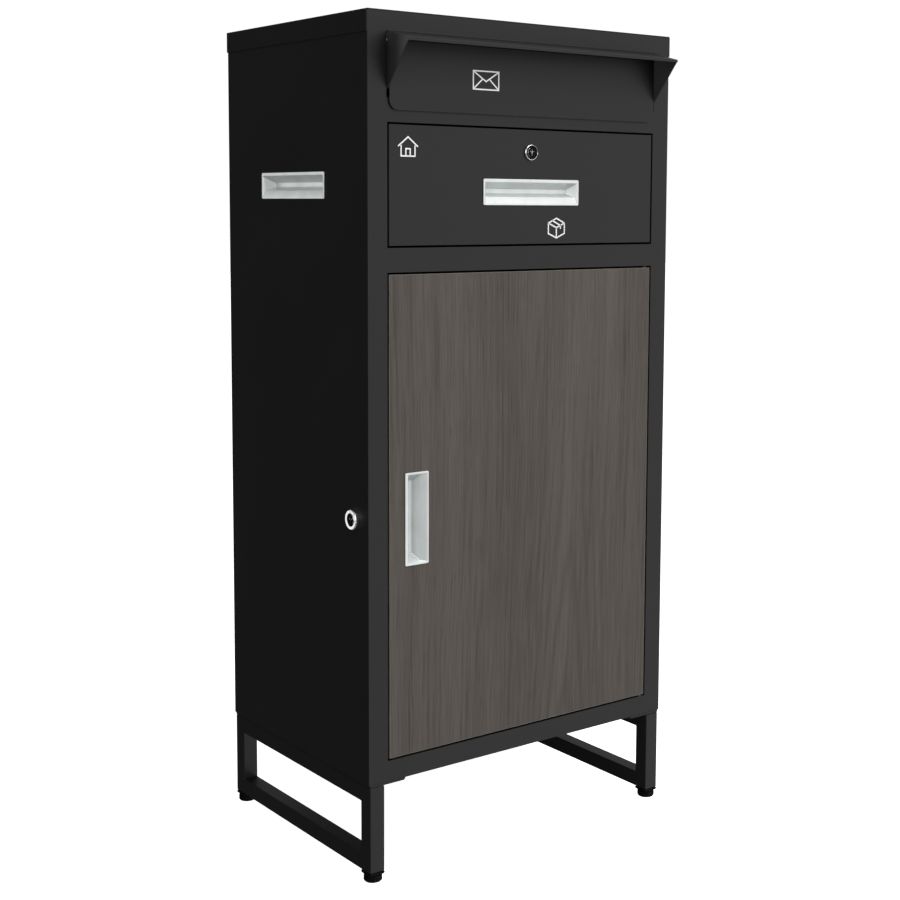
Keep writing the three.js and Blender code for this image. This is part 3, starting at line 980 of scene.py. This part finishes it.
@dataclass
class CupHandle:
    """A pressed cup: a rim, a trough to grip in and a plate that slopes out to the rim's low side."""

    node: str
    facing: Facing
    upright: bool = False
    lip: float = 1.0 * MM
    gap: float = 0.3 * MM
    corner: float = 1.8 * MM
    wall: float = 0.8 * MM

    def build(self) -> None:
        """Makes the cup and hides its plain node."""
        low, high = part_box(self.node)
        across, depth, tall = high - low
        if self.facing is not Facing.FRONT:
            across, depth = depth, across
        top = self.gap + self.lip
        place = on_sheet(self.node, self.facing, top, math.pi / 2 if self.upright else 0.0)
        rings = self._rings(max(across, tall) / 2, min(across, tall) / 2, top, depth - top)
        cup = Workpiece(f"{self.node}_pressing").loft(rings, place, floored=True)
        cup.thicken(self.wall).hang(SatinMetal(), self.node, [self.node])

    def _rings(self, half_u: float, half_v: float, top: float, depth: float) -> list[list[Point3]]:
        """The rings from the rim's edge down to the trough's floor.

        Args:
            half_u: Half the rim's length.
            half_v: Half its width.
            top: The rim's height over the sheet.
            depth: The floor's depth under the sheet.

        Returns:
            The rings, all with as many points.
        """
        plate_edge = half_v - 5.8 * MM
        floor_low, floor_high = half_v - 1.0 * MM, half_v - 3.5 * MM
        stations = [
            # in from the ends, the high side and the low side; then the heights at those two sides
            (0.0, 0.0, 0.0, self.gap, self.gap),
            (0.0, 0.0, 0.0, top - 0.45 * MM, top - 0.45 * MM),
            (0.15 * MM, 0.15 * MM, 0.15 * MM, top - 0.12 * MM, top - 0.12 * MM),
            (0.5 * MM, 0.5 * MM, 0.5 * MM, top, top),
            (2.2 * MM, 3.4 * MM, 0.9 * MM, top, top),
            (2.7 * MM, 3.9 * MM, 3.4 * MM, top - 0.2 * MM, top - 0.45 * MM),
            (4.0 * MM, 4.8 * MM, plate_edge, top - 1.15 * MM, -1.7 * MM),
            (4.4 * MM, 5.2 * MM, plate_edge + 0.5 * MM, -0.8 * MM, -2.4 * MM),
            (10.2 * MM, floor_high - 1.0 * MM, floor_low - 1.2 * MM, 1.6 * MM - depth, 1.6 * MM - depth),
            (11.2 * MM, floor_high - 0.3 * MM, floor_low - 0.4 * MM, 0.5 * MM - depth, 0.5 * MM - depth),
            (12.2 * MM, floor_high, floor_low, self.wall - depth, self.wall - depth),
        ]
        return [self._ring(half_u, half_v, *station) for station in stations]

    def _ring(self, half_u: float, half_v: float, ends: float, above: float, below: float,
              high: float, low: float) -> list[Point3]:
        """One ring, tilted where its high and low sides differ in height.

        Args:
            half_u: Half the rim's length.
            half_v: Half its width.
            ends: How far in from the ends it is.
            above: How far in from the high side.
            below: How far in from the low side.
            high: Its height at the high side.
            low: Its height at the low side.

        Returns:
            The points.
        """
        radius = max(self.corner - ends / 4, 0.9 * MM)
        u, v0, v1 = half_u - ends, below - half_v, half_v - above
        flat = soft_rectangle(-u, u, v0, v1, min(radius, (v1 - v0) / 2.2), 0.0)
        return [(x, y, low + (high - low) * (y - v0) / (v1 - v0)) for x, y, _ in flat]


# ---- Cam locks ----


@dataclass
class CamLock:
    """A cam lock's face: a turned bezel, a dished black shield and a plug with a shuttered keyway."""

    name: str
    facing: Facing
    proud: float
    bore: float = 6.3 * MM
    shield_radius: float = 7.6 * MM
    dish: float = 1.0 * MM
    tail: float = 4.0 * MM

    def build(self) -> None:
        """Makes the face's pieces and dresses the nodes behind it."""
        barrel = f"{self.name}_barrel"
        low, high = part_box(barrel)
        across, length = high.x - low.x, high.y - low.y
        if self.facing is not Facing.FRONT:
            across, length = high.z - low.z, across
        place = on_sheet(barrel, self.facing, self.proud)
        self._bezel(place, across / 2, length - self.proud)
        self._shield(place)
        self._core(place, length - self.proud)
        keep_nodes(ZincPlate(), 0.3 * MM, [f"{self.name}_{part}" for part in ("nut", "cam", "cam_screw")])

    def _bezel(self, place: Matrix, head: float, body: float) -> None:
        """The turned barrel with its rolled nose, notched at the right and at the top.

        Args:
            place: The lock's place on the sheet.
            head: The head's radius.
            body: How far the barrel reaches behind the sheet.
        """
        nose = self.proud
        bezel = Workpiece(f"{self.name}_bezel")
        bezel.turned([
            (self.bore, -body), (8.5 * MM, -body), (8.5 * MM, 0.3 * MM), (head, 0.3 * MM),
            (head, nose - 1.3 * MM), (head - 0.3 * MM, nose - 0.6 * MM), (head - 0.9 * MM, nose - 0.12 * MM),
            (head - 1.2 * MM, nose), (self.shield_radius + 0.2 * MM, nose - 0.15 * MM),
            (self.shield_radius, nose - 0.5 * MM), (self.shield_radius, nose - self.dish),
            (self.bore, nose - self.dish),
        ], place, sides=64, hollow=True)
        half, start, end = 0.6 * MM, self.shield_radius - 0.5 * MM, head + 2 * MM
        outline = rectangle(start, end, -half, half)
        for turn in (math.radians(-4), math.radians(92)):
            notch = Workpiece("notch")
            notch.prism(outline, nose - 0.9 * MM, nose + 1 * MM, place @ Matrix.Rotation(turn, 4, "Z"))
            bezel.cut(notch)
        bezel.ease_edges(0.12 * MM).hang(Chrome(), f"{self.name}_barrel", [f"{self.name}_barrel"])

    def _shield(self, place: Matrix) -> None:
        """The black ring in the dish.

        Args:
            place: The lock's place on the sheet.
        """
        floor = self.proud - self.dish
        shield = Workpiece(f"{self.name}_shield")
        shield.turned([
            (self.bore, floor + 0.05 * MM), (self.shield_radius - 0.1 * MM, floor + 0.05 * MM),
            (self.shield_radius - 0.1 * MM, floor + 0.55 * MM), (self.bore, floor + 0.35 * MM),
        ], place, hollow=True)
        shield.hang(BlackPlastic(), f"{self.name}_barrel")

    def _core(self, place: Matrix, body: float) -> None:
        """The plug, its shutter with the key's slot, and two small pins beside the slot.

        Args:
            place: The lock's place on the sheet.
            body: How far the barrel reaches behind the sheet.
        """
        node = f"{self.name}_plug"
        face = self.proud - self.dish + 0.3 * MM
        core = Workpiece(f"{self.name}_core")
        core.turned([(5.6 * MM, -body), (5.9 * MM, -body + 0.4 * MM), (5.9 * MM, face - 0.4 * MM),
                     (5.5 * MM, face)], place)
        tail = rectangle(-self.tail, self.tail, -self.tail, self.tail)
        core.prism(tail, -body - 2.3 * MM, -body + 0.5 * MM, place)
        keyway = self._slot(1.1 * MM, 4.2 * MM)
        core.cut(Workpiece("keyway").prism(keyway, face - 4 * MM, face + 2 * MM, place))
        core.ease_edges(0.12 * MM).hang(Chrome(), node, [node])
        edge, rise = 5.7 * MM, 0.4 * MM
        shutter = Workpiece(f"{self.name}_shutter")
        shutter.turned([(edge, face - 0.1 * MM), (edge, face + 0.15 * MM), (5.2 * MM, face + rise)], place)
        key_slot = self._slot(0.9 * MM, 3.6 * MM)
        shutter.cut(Workpiece("key_slot").prism(key_slot, face - 3 * MM, face + 2 * MM, place))
        shutter.ease_edges(0.1 * MM).hang(BlackPlastic(), node)
        dot, height = 0.5 * MM, face + 0.25 * MM
        pin = Workpiece("pin").turned([(dot, 0.0), (dot, 0.2 * MM), (dot / 2, 0.4 * MM)], sides=12)
        pins = [place @ Matrix.Translation((side * 2.6 * MM, 1.2 * MM, height)) for side in (-1, 1)]
        Workpiece(f"{self.name}_shutter_pins").add_copies(pin, pins).hang(Chrome(), node)

    @staticmethod
    def _slot(half_width: float, half_height: float) -> list[Point2]:
        """A keyway's outline: an upright slot with a step at one side.

        Args:
            half_width: Half the slot's width.
            half_height: Half its height.

        Returns:
            The outline.
        """
        step = half_width * 0.7
        return [
            (-half_width, -half_height), (half_width, -half_height), (half_width, -0.2 * half_height),
            (half_width + step, -0.05 * half_height), (half_width + step, 0.3 * half_height),
            (half_width, 0.45 * half_height), (half_width, half_height), (-half_width, half_height),
        ]


# ---- Cabinet ----


@dataclass
class Cabinet:
    """The folded shell: front frame, walls, floor, shelf and lid."""

    lid_sheet: float = 1.0 * MM
    fold_radius: float = 1.6 * MM
    rivet_inset: float = 10 * MM
    rivet_ends: Point2 = (40 * MM, 60 * MM)
    rivet_count: int = 7
    screw_rise: float = 12 * MM
    screw_reach: float = 0.36

    def build(self) -> None:
        """Makes the lid and dresses the shell."""
        sheets = ["front_frame", "left_side_panel", "right_side_panel", "back_panel", "floor_panel"]
        keep_nodes(PowderCoat(), 0.5 * MM, [*sheets, "divider_shelf"])
        self._lid()
        self._rivets()
        for node, facing in (("left_carry_cup", Facing.LEFT), ("right_carry_cup", Facing.RIGHT)):
            CupHandle(node, facing).build()
        CamLock("side_lock", Facing.LEFT, proud=5.0 * MM).build()

    def _lid(self) -> None:
        """The lid: folded down at the sides and the back, open at the front."""
        low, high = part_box("top_cap")
        lid = Workpiece("folded_lid").fold(low, high, [Facing.DOWN, Facing.FRONT], self.fold_radius)
        lid.thicken(self.lid_sheet).ease_edges(0.25 * MM).hang(PowderCoat(), "top_cap", ["top_cap"])

    def _rivets(self) -> None:
        """Rivets down both back flanges, and screws through the lid's back skirt."""
        low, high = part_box("left_side_panel")
        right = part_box("right_side_panel")[1]
        heights = spread(low.z + self.rivet_ends[0], high.z - self.rivet_ends[1], self.rivet_count)
        columns = (low.x + self.rivet_inset, right.x - self.rivet_inset)
        places = [Facing.BACK.at((x, high.y, z)) for x in columns for z in heights]
        FIXINGS.row("back_rivets", FIXINGS.rivet(), places, PowderCoat(), "back_panel")
        low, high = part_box("top_cap")
        reach, middle = (high.x - low.x) * self.screw_reach, (low.x + high.x) / 2
        height = low.z + self.screw_rise
        skirt = [Facing.BACK.at((middle + i * reach, high.y, height)) for i in (-1, 0, 1)]
        FIXINGS.row("lid_screws", FIXINGS.screw(), skirt, ZincPlate(), "top_cap")


# ---- Letter entry ----


@dataclass
class LetterEntry:
    """The hooded slot: hood, flap on its pin, and the ramp behind."""

    flange_rise: float = 14.6 * MM
    seam_radius: float = 0.9 * MM
    seam_inset: float = 12 * MM
    seam_seat: Point2 = (0.5 * MM, 0.4 * MM)

    def build(self) -> None:
        """Dresses the hood, the flap, the pin and the ramp, and seals the hood's root."""
        keep_nodes(PowderCoat(), 0.45 * MM, ["mail_hood", "mail_flap", "letter_ramp"])
        keep_nodes(ZincPlate(), 0.2 * MM, ["mail_flap_pin"])
        self._seam()

    def _seam(self) -> None:
        """A painted bead of sealant that fills the joint between the hood's root and the frame."""
        low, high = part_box("mail_hood")
        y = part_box("front_frame")[0].y + self.seam_seat[0]
        z = high.z - self.flange_rise + self.seam_seat[1]
        section = [(y + a, z + b) for a, b, _ in ring(self.seam_radius, 0.0, 16)]
        ends = (low.x + self.seam_inset, high.x - self.seam_inset)
        seam = Workpiece("hood_seam").loft([[(x, *point) for point in section] for x in ends])
        seam.hang(PowderCoat(), "mail_hood")


# ---- Letter drawer ----


@dataclass
class LetterDrawer:
    """The locking letter drawer on its two telescopic slides."""

    screw_shares: Point3 = (0.12, 0.5, 0.85)

    def build(self) -> None:
        """Dresses the drawer and its slides, and makes the cup, the lock face and the screws."""
        keep_nodes(PowderCoat(), 0.5 * MM, ["drawer_front"])
        keep_nodes(ZincPlate(), 0.35 * MM, ["drawer_tray"])
        for side in ("left", "right"):
            members = [f"{side}_slide_{member}" for member in ("spacer", "outer", "middle", "inner")]
            keep_nodes(ZincPlate(), 0.25 * MM, members)
        CupHandle("drawer_cup", Facing.FRONT).build()
        CamLock("drawer_lock", Facing.FRONT, proud=3.0 * MM, shield_radius=8.2 * MM, dish=0.7 * MM).build()
        self._slide_screws()

    def _slide_screws(self) -> None:
        """Screws inside the tray that hold it to the slides' inner members."""
        tray_low, tray_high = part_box("drawer_tray")
        low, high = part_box("left_slide_inner")
        height = (low.z + high.z) / 2
        depths = [low.y + (high.y - low.y) * share for share in self.screw_shares]
        places = [Facing.RIGHT.at((tray_low.x + SHEET, y, height)) for y in depths]
        places += [Facing.LEFT.at((tray_high.x - SHEET, y, height)) for y in depths]
        FIXINGS.row("tray_screws", FIXINGS.screw(), places, ZincPlate(), "drawer_tray")


# ---- Parcel door ----


@dataclass
class ParcelDoor:
    """The wood-grain door on its two pivots, with its cup and its strike."""

    rivet_inset: float = 14 * MM
    rivet_count: int = 5
    screw_inset: float = 6 * MM
    screw_pitch: float = 10 * MM

    def build(self) -> None:
        """Dresses the leaf, the inner sheet, the pivots and the strike; makes the cup and the fixings."""
        keep_nodes(WoodgrainFilm(), 0.6 * MM, ["door_leaf"])
        keep_nodes(ZincPlate(), 0.35 * MM, ["door_back", "door_strike"])
        # the pivot pins get the much darker zinc plate
        keep_nodes(DarkenedZinc(), 0.35 * MM, ["door_pin_top", "door_pin_bottom"])
        keep_nodes(Nylon(), 0.15 * MM, ["door_washer"])
        CupHandle("door_cup", Facing.FRONT, upright=True).build()
        self._inner_rivets()

    def _inner_rivets(self) -> None:
        """Rivets round the inner sheet, and two screws through the strike's foot."""
        low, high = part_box("door_back")
        inset = self.rivet_inset
        heights = spread(low.z + inset, high.z - inset, self.rivet_count)
        places = [Facing.BACK.at((x, high.y, z)) for x in (low.x + inset, high.x - inset) for z in heights]
        FIXINGS.row("door_rivets", FIXINGS.rivet(), places, ZincPlate(), "door_back")
        low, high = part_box("door_strike")
        x, middle, half = high.x - self.screw_inset, (low.z + high.z) / 2, self.screw_pitch / 2
        seats = [Facing.BACK.at((x, low.y + SHEET, middle + i * half)) for i in (-1, 1)]
        FIXINGS.row("strike_screws", FIXINGS.screw(), seats, ZincPlate(), "door_strike")


# ---- Legs ----


class Corner(Enum):
    """The four corners of the stand, with the way out along X and Y."""

    FRONT_LEFT = (-1, -1)
    FRONT_RIGHT = (1, -1)
    BACK_LEFT = (-1, 1)
    BACK_RIGHT = (1, 1)


@dataclass
class Stand:
    """Two loops of square tube, with mounting plates, end caps and levelling feet."""

    tube: float = 20 * MM
    tube_radius: float = 1.2 * MM
    tab_width: float = 40 * MM
    bolt_inset: float = 17 * MM
    bolt_pitch: float = 20 * MM
    bead_radius: float = 1.3 * MM
    bead_ripples: int = 22
    cap_bore: float = 4.3 * MM
    pad_height: float = 8.4 * MM
    flutes: int = 16
    flute_depth: float = 0.45 * MM
    stem_radius: float = 4.0 * MM
    thread_pitch: float = 1.25 * MM
    thread_depth: float = 0.5 * MM
    thread_turns: int = 16

    def build(self) -> None:
        """Makes both loops and everything at the four corners."""
        for side in ("left", "right"):
            self._loop(f"{side}_leg_loop")
            keep_nodes(PowderCoat(), 0.5 * MM, [f"{side}_mount_plate"])
        for corner in Corner:
            name = corner.name.lower()
            self._bolts(name, *corner.value)
            self._tube_cap(name)
            self._foot(name)

    def _loop(self, node: str) -> None:
        """One loop: rounded tubes that meet at mitred corners, with weld beads inside them.

        Args:
            node: The loop's CAD node.
        """
        low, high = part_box(node)
        outer, inner = (rectangle(low.y + t, high.y - t, low.z + t, high.z - t) for t in (0.0, self.tube))
        stations = [(outer, low.x), (outer, high.x), (inner, high.x), (inner, low.x)]
        loop = Workpiece(f"{node}_tube")
        loop.loft([[(x, y, z) for y, z in corners] for corners, x in stations], closed=True)
        loop.ease_edges(self.tube_radius, 4).hang(PowderCoat(), node, [node])
        self._weld_beads(node, low, high, inner)

    def _weld_beads(self, node: str, low: Vector, high: Vector, inner: Sequence[Point2]) -> None:
        """A rippled bead across the tube in each inner corner.

        Args:
            node: The loop's CAD node.
            low: The loop's lowest corner.
            high: Its highest corner.
            inner: The (Y, Z) corners inside the loop.
        """
        beads = Workpiece(f"{node}_weld_beads")
        middle = ((low.y + high.y) / 2, (low.z + high.z) / 2)
        stations = spread(low.x + self.tube_radius, high.x - self.tube_radius, self.bead_ripples + 1)
        for y, z in inner:
            into = Vector((math.copysign(1, middle[0] - y), math.copysign(1, middle[1] - z)))
            centre = Vector((y, z)) - into * 0.4 * MM
            rings = []
            for i, x in enumerate(stations):
                size = self.bead_radius * (1.0 + 0.12 * math.cos(math.pi * i))
                size *= 0.55 if i in (0, self.bead_ripples) else 1.0
                rings.append([(x, centre.x + a, centre.y + b) for a, b, _ in ring(size, 0.0, 12)])
            beads.loft(rings)
        beads.hang(PowderCoat(), node)

    def _bolts(self, name: str, way_x: int, way_y: int) -> None:
        """Two bolts up through a mounting plate's tab, with their nuts on the cabinet's floor.

        Args:
            name: The corner's name.
            way_x: The way out along X, -1 or 1.
            way_y: The way out along Y, -1 or 1.
        """
        plate = "right_mount_plate" if way_x > 0 else "left_mount_plate"
        low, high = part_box(plate)
        inner, end = (low.x if way_x > 0 else high.x), (high.y if way_y > 0 else low.y)
        x, middle = inner + way_x * self.bolt_inset, end - way_y * self.tab_width / 2
        spots = [(x, middle + i * self.bolt_pitch / 2) for i in (-1, 1)]
        under = [Facing.DOWN.at((*spot, low.z)) for spot in spots]
        FIXINGS.row(f"{name}_plate_bolts", FIXINGS.bolt(), under, ZincPlate(), plate)
        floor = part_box("floor_panel")[0].z + SHEET
        over = [Facing.UP.at((*spot, floor)) for spot in spots]
        FIXINGS.row(f"{name}_plate_nuts", FIXINGS.nut(), over, ZincPlate(), "floor_panel")

    @staticmethod
    def _underside(node: str) -> tuple[Matrix, float, float]:
        """The middle of a node's underside, with half the node's width and its height.

        Args:
            node: The CAD node.

        Returns:
            The place, half the width and the height.
        """
        low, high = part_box(node)
        middle = (low + high) / 2
        return Facing.UP.at((middle.x, middle.y, low.z)), (high.x - low.x) / 2, high.z - low.z

    def _tube_cap(self, name: str) -> None:
        """The plastic cap in a post's foot, with its flared lip.

        Args:
            name: The corner's name.
        """
        node = f"{name}_tube_cap"
        place, half, height = self._underside(node)
        stations = [
            (half - 1.4 * MM, 0.0), (half - 0.5 * MM, 0.35 * MM), (half, 1.1 * MM),
            (half - 0.1 * MM, 2.2 * MM), (half - 1.1 * MM, 3.0 * MM), (8.2 * MM, 3.0 * MM),
            (8.2 * MM, height - 1.5 * MM), (7.4 * MM, height),
        ]
        cap = Workpiece(f"{name}_flared_cap")
        cap.loft([soft_rectangle(-s, s, -s, s, min(3 * MM, s / 3), h) for s, h in stations], place)
        bore = [(self.cap_bore, -5 * MM), (self.cap_bore, 40 * MM)]
        cap.cut(Workpiece("hole").turned(bore, place, sides=24)).hang(BlackPlastic(), node, [node])

    def _foot(self, name: str) -> None:
        """The levelling foot: a fluted pad on a threaded stem.

        Args:
            name: The corner's name.
        """
        node = f"{name}_foot"
        place, radius, _ = self._underside(node)
        top, sides = self.pad_height, 96
        profile = [
            # the radius, the height, and whether it is fluted there
            (radius - 2.4 * MM, 0.0, 0), (radius - 1.2 * MM, 0.2 * MM, 0), (radius - 0.3 * MM, 1.2 * MM, 0),
            (radius, 2.0 * MM, 0), (radius, 2.3 * MM, 1), (radius, top - 2.0 * MM, 1),
            (radius - 0.3 * MM, top - 1.3 * MM, 0), (radius - 1.4 * MM, top - 0.2 * MM, 0),
            (radius - 2.4 * MM, top, 0), (self.stem_radius, top, 0),
        ]
        rings = []
        for r, h, fluted in profile:
            points = []
            for x, y, _ in ring(1.0, h, sides):
                wave = 0.5 - 0.5 * math.cos(self.flutes * math.atan2(y, x))
                trim = r - fluted * self.flute_depth * wave
                points.append((x * trim, y * trim, h))
            rings.append(points)
        for i in range(2 * self.thread_turns):
            stem = self.stem_radius - (i % 2) * self.thread_depth
            rings.append(ring(stem, top + 0.5 * MM + i * self.thread_pitch / 2, sides))
        Workpiece(f"{name}_fluted_pad").loft(rings, place).hang(BlackPlastic(), node, [node])


# ---- Printed signs ----


# strokes as (path, whether it is closed), in halves of the sign's size
ENVELOPE: list[Stroke] = [
    (rectangle(-1, 1, -1, 1), True),
    ([(-0.95, 0.92), (0, -0.12), (0.95, 0.92)], False),
    ([(-0.95, -0.92), (-0.3, 0.1)], False),
    ([(0.95, -0.92), (0.3, 0.1)], False),
]
CARTON: list[Stroke] = [
    ([(0, -1), (0.9, -0.55), (0.9, 0.5), (0, 0.98), (-0.9, 0.5), (-0.9, -0.55)], True),
    ([(-0.9, 0.5), (0, 0.04), (0.9, 0.5)], False),
    ([(0, 0.04), (0, -0.95)], False),
    ([(-0.45, 0.74), (0.45, 0.27), (0.45, -0.08)], False),
]
HOUSE: list[Stroke] = [
    ([(-0.7, 0.1), (-0.7, -1), (0.7, -1), (0.7, 0.1)], False),
    ([(-1, -0.02), (0, 0.95), (1, -0.02)], False),
    ([(-0.22, -0.95), (-0.22, -0.25), (0.22, -0.25), (0.22, -0.95)], False),
]


@dataclass
class Sign:
    """A white pictogram printed on a face, drawn with strokes of one width."""

    name: str
    node: str
    strokes: list[Stroke]
    aside: float
    above: float
    width: float
    height: float
    stroke: float = 1.6 * MM
    ink: float = 0.08 * MM
    sunk: float = 0.05 * MM

    def build(self) -> None:
        """Prints the sign: its strokes are a film just proud of the sheet."""
        low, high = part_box(self.node)
        place = Facing.FRONT.at(((low.x + high.x) / 2 + self.aside, low.y, low.z + self.above))
        sign = Workpiece(self.name)
        for path, closed in self.strokes:
            scaled = [(u * self.width / 2, v * self.height / 2) for u, v in path]
            sign.ribbon(scaled, self.stroke, -self.sunk, self.ink, place, closed)
        sign.hang(WhitePrint(), self.node)


# ---- Studio ----


@dataclass
class Studio:
    """A pale floor, a soft key from the front right, fills, an even surround and the camera."""

    floor_half: float = 14.0
    foot_travel: float = 10 * MM
    fill: float = 0.42
    shade_side: Point3 = (-0.62, 0.78, 0.0)
    camera_place: Point3 = (-1.1505, -1.5849, 0.7864)
    yaw: float = 37.49
    pitch: float = -5.48
    roll: float = 0.32
    focal: float = 61.28
    sensor: Point2 = (30.0, 36.0)
    shift: Point2 = (-0.0525, -0.11)

    def build(self) -> None:
        """Makes the floor, the surround, the lights and the camera."""
        bpy.context.scene.view_settings.view_transform = "Standard"
        self._floor()
        self._surround()
        self._camera()
        self._soft_box("key", (2.0, -2.9, 0.1), (0.0, 0.0, 0.2), (3.4, 6.6), 1.02)
        self._soft_box("overhead", (0.4, -1.7, 3.1), (0.0, 0.0, 0.5), (2.2, 2.2), 3.1)
        self._soft_box("side_fill", (-2.6, -1.5, 1.4), (0.0, 0.0, 0.6), (2.0, 2.0), 2.0)
        self._soft_box("hood_fill", (-2.2, 2.6, 1.2), (0.0, -0.1, 0.9), (2.6, 2.6), 2.4, ["mail_hood"])
        fittings = ["left_carry_cup_pressing", "side_lock_bezel", "side_lock_core"]
        self._soft_box("fittings_fill", (-2.4, 2.2, 0.9), (-0.2, 0.0, 0.6), (2.8, 2.8), 1.1, fittings)

    def _floor(self) -> None:
        """A wide floor that lights nothing back onto the part, low enough for the feet's travel."""
        half = self.floor_half
        top = -self.foot_travel - 0.2 * MM
        corners = rectangle(-half, half, -half, half)
        made = Workpiece("studio_floor").prism(corners, top - 20 * MM, top).bare_object()
        made.data.materials.append(PaleFloor().material())
        made.visible_diffuse = False
        made.visible_glossy = False
        made.visible_shadow = False

    def _surround(self) -> None:
        """White behind the part, and an even fill on it that is darker towards the back left."""
        world = bpy.data.worlds.new("studio_surround")
        bpy.context.scene.world = world
        world.use_nodes = True
        net = Net(world.node_tree)
        way = net.node("ShaderNodeTexCoord", output="Generated")
        side = Vector(self.shade_side).normalized()
        towards = net.vector_math("DOT_PRODUCT", way, tuple(side), "Value")
        up = net.axis(way, "Z")
        fill = self.fill * (1.0 - towards.ramp(0.1, 0.85) * 0.78) * (0.75 + up.ramp(-0.5, 0.9) * 0.5)
        seen = net.node("ShaderNodeLightPath", output="Is Camera Ray")
        strength = fill * (1.0 - seen) + seen * 1.02
        inputs = {"Color": (1.0, 1.0, 1.0, 1.0), "Strength": strength}
        light = net.node("ShaderNodeBackground", inputs=inputs)
        net.node_output("ShaderNodeOutputWorld", light)

    @staticmethod
    def _soft_box(name: str, place: Point3, aim: Point3, size: Point2, glow: float,
                  only: Sequence[str] = ()) -> None:
        """A soft box that the camera doesn't see.

        Args:
            name: The light's name.
            place: Where its middle is.
            aim: The point that it faces.
            size: Its width and height.
            glow: Its brightness, where 1 is a white surface.
            only: The objects that it lights, with nothing else in its way, or none for all of them.
        """
        light = bpy.data.lights.new(name, "AREA")
        light.shape = "RECTANGLE"
        light.size, light.size_y = size
        light.energy = glow * math.pi * size[0] * size[1]
        lamp = bpy.data.objects.new(name, light)
        bpy.context.scene.collection.objects.link(lamp)
        lamp.location = place
        lamp.rotation_euler = (Vector(aim) - Vector(place)).to_track_quat("-Z", "Y").to_euler()
        lamp.visible_camera = False
        if only:
            chosen = bpy.data.collections.new(f"{name}_lit")
            for lit in only:
                chosen.objects.link(bpy.data.objects[lit])
            lamp.light_linking.receiver_collection = chosen
            lamp.light_linking.blocker_collection = chosen

    def _camera(self) -> None:
        """The camera at its viewing angle."""
        yaw, pitch, roll = (math.radians(a) for a in (self.yaw, self.pitch, self.roll))
        flat = math.cos(pitch)
        ahead = Vector((math.sin(yaw) * flat, math.cos(yaw) * flat, math.sin(pitch)))
        level = Vector((math.cos(yaw), -math.sin(yaw), 0.0))
        upward = level.cross(ahead)
        right = level * math.cos(roll) + upward * math.sin(roll)
        upward = right.cross(ahead)
        data = bpy.data.cameras.new("studio_camera")
        data.sensor_fit = "VERTICAL"
        data.sensor_width, data.sensor_height = self.sensor
        data.lens = self.focal
        data.shift_x, data.shift_y = self.shift
        camera = bpy.data.objects.new("studio_camera", data)
        bpy.context.scene.collection.objects.link(camera)
        turn = Matrix((right, upward, -ahead)).transposed().to_4x4()
        camera.matrix_world = Matrix.Translation(self.camera_place) @ turn
        bpy.context.scene.camera = camera


# ---- All of it ----


def main() -> None:
    """Builds the part and its studio, in order."""
    logging.basicConfig(level=logging.INFO, format="%(name)s: %(message)s")
    Cabinet().build()
    LetterEntry().build()
    LetterDrawer().build()
    ParcelDoor().build()
    Stand().build()
    Sign("envelope_sign", "mail_flap", ENVELOPE, -66 * MM, 39 * MM, 37 * MM, 21 * MM).build()
    Sign("carton_sign", "drawer_front", CARTON, 44 * MM, 19 * MM, 28 * MM, 24 * MM).build()
    Sign("house_sign", "drawer_front", HOUSE, -174 * MM, 112 * MM, 27 * MM, 22 * MM).build()
    Studio().build()


if __name__ == "__main__":
    main()
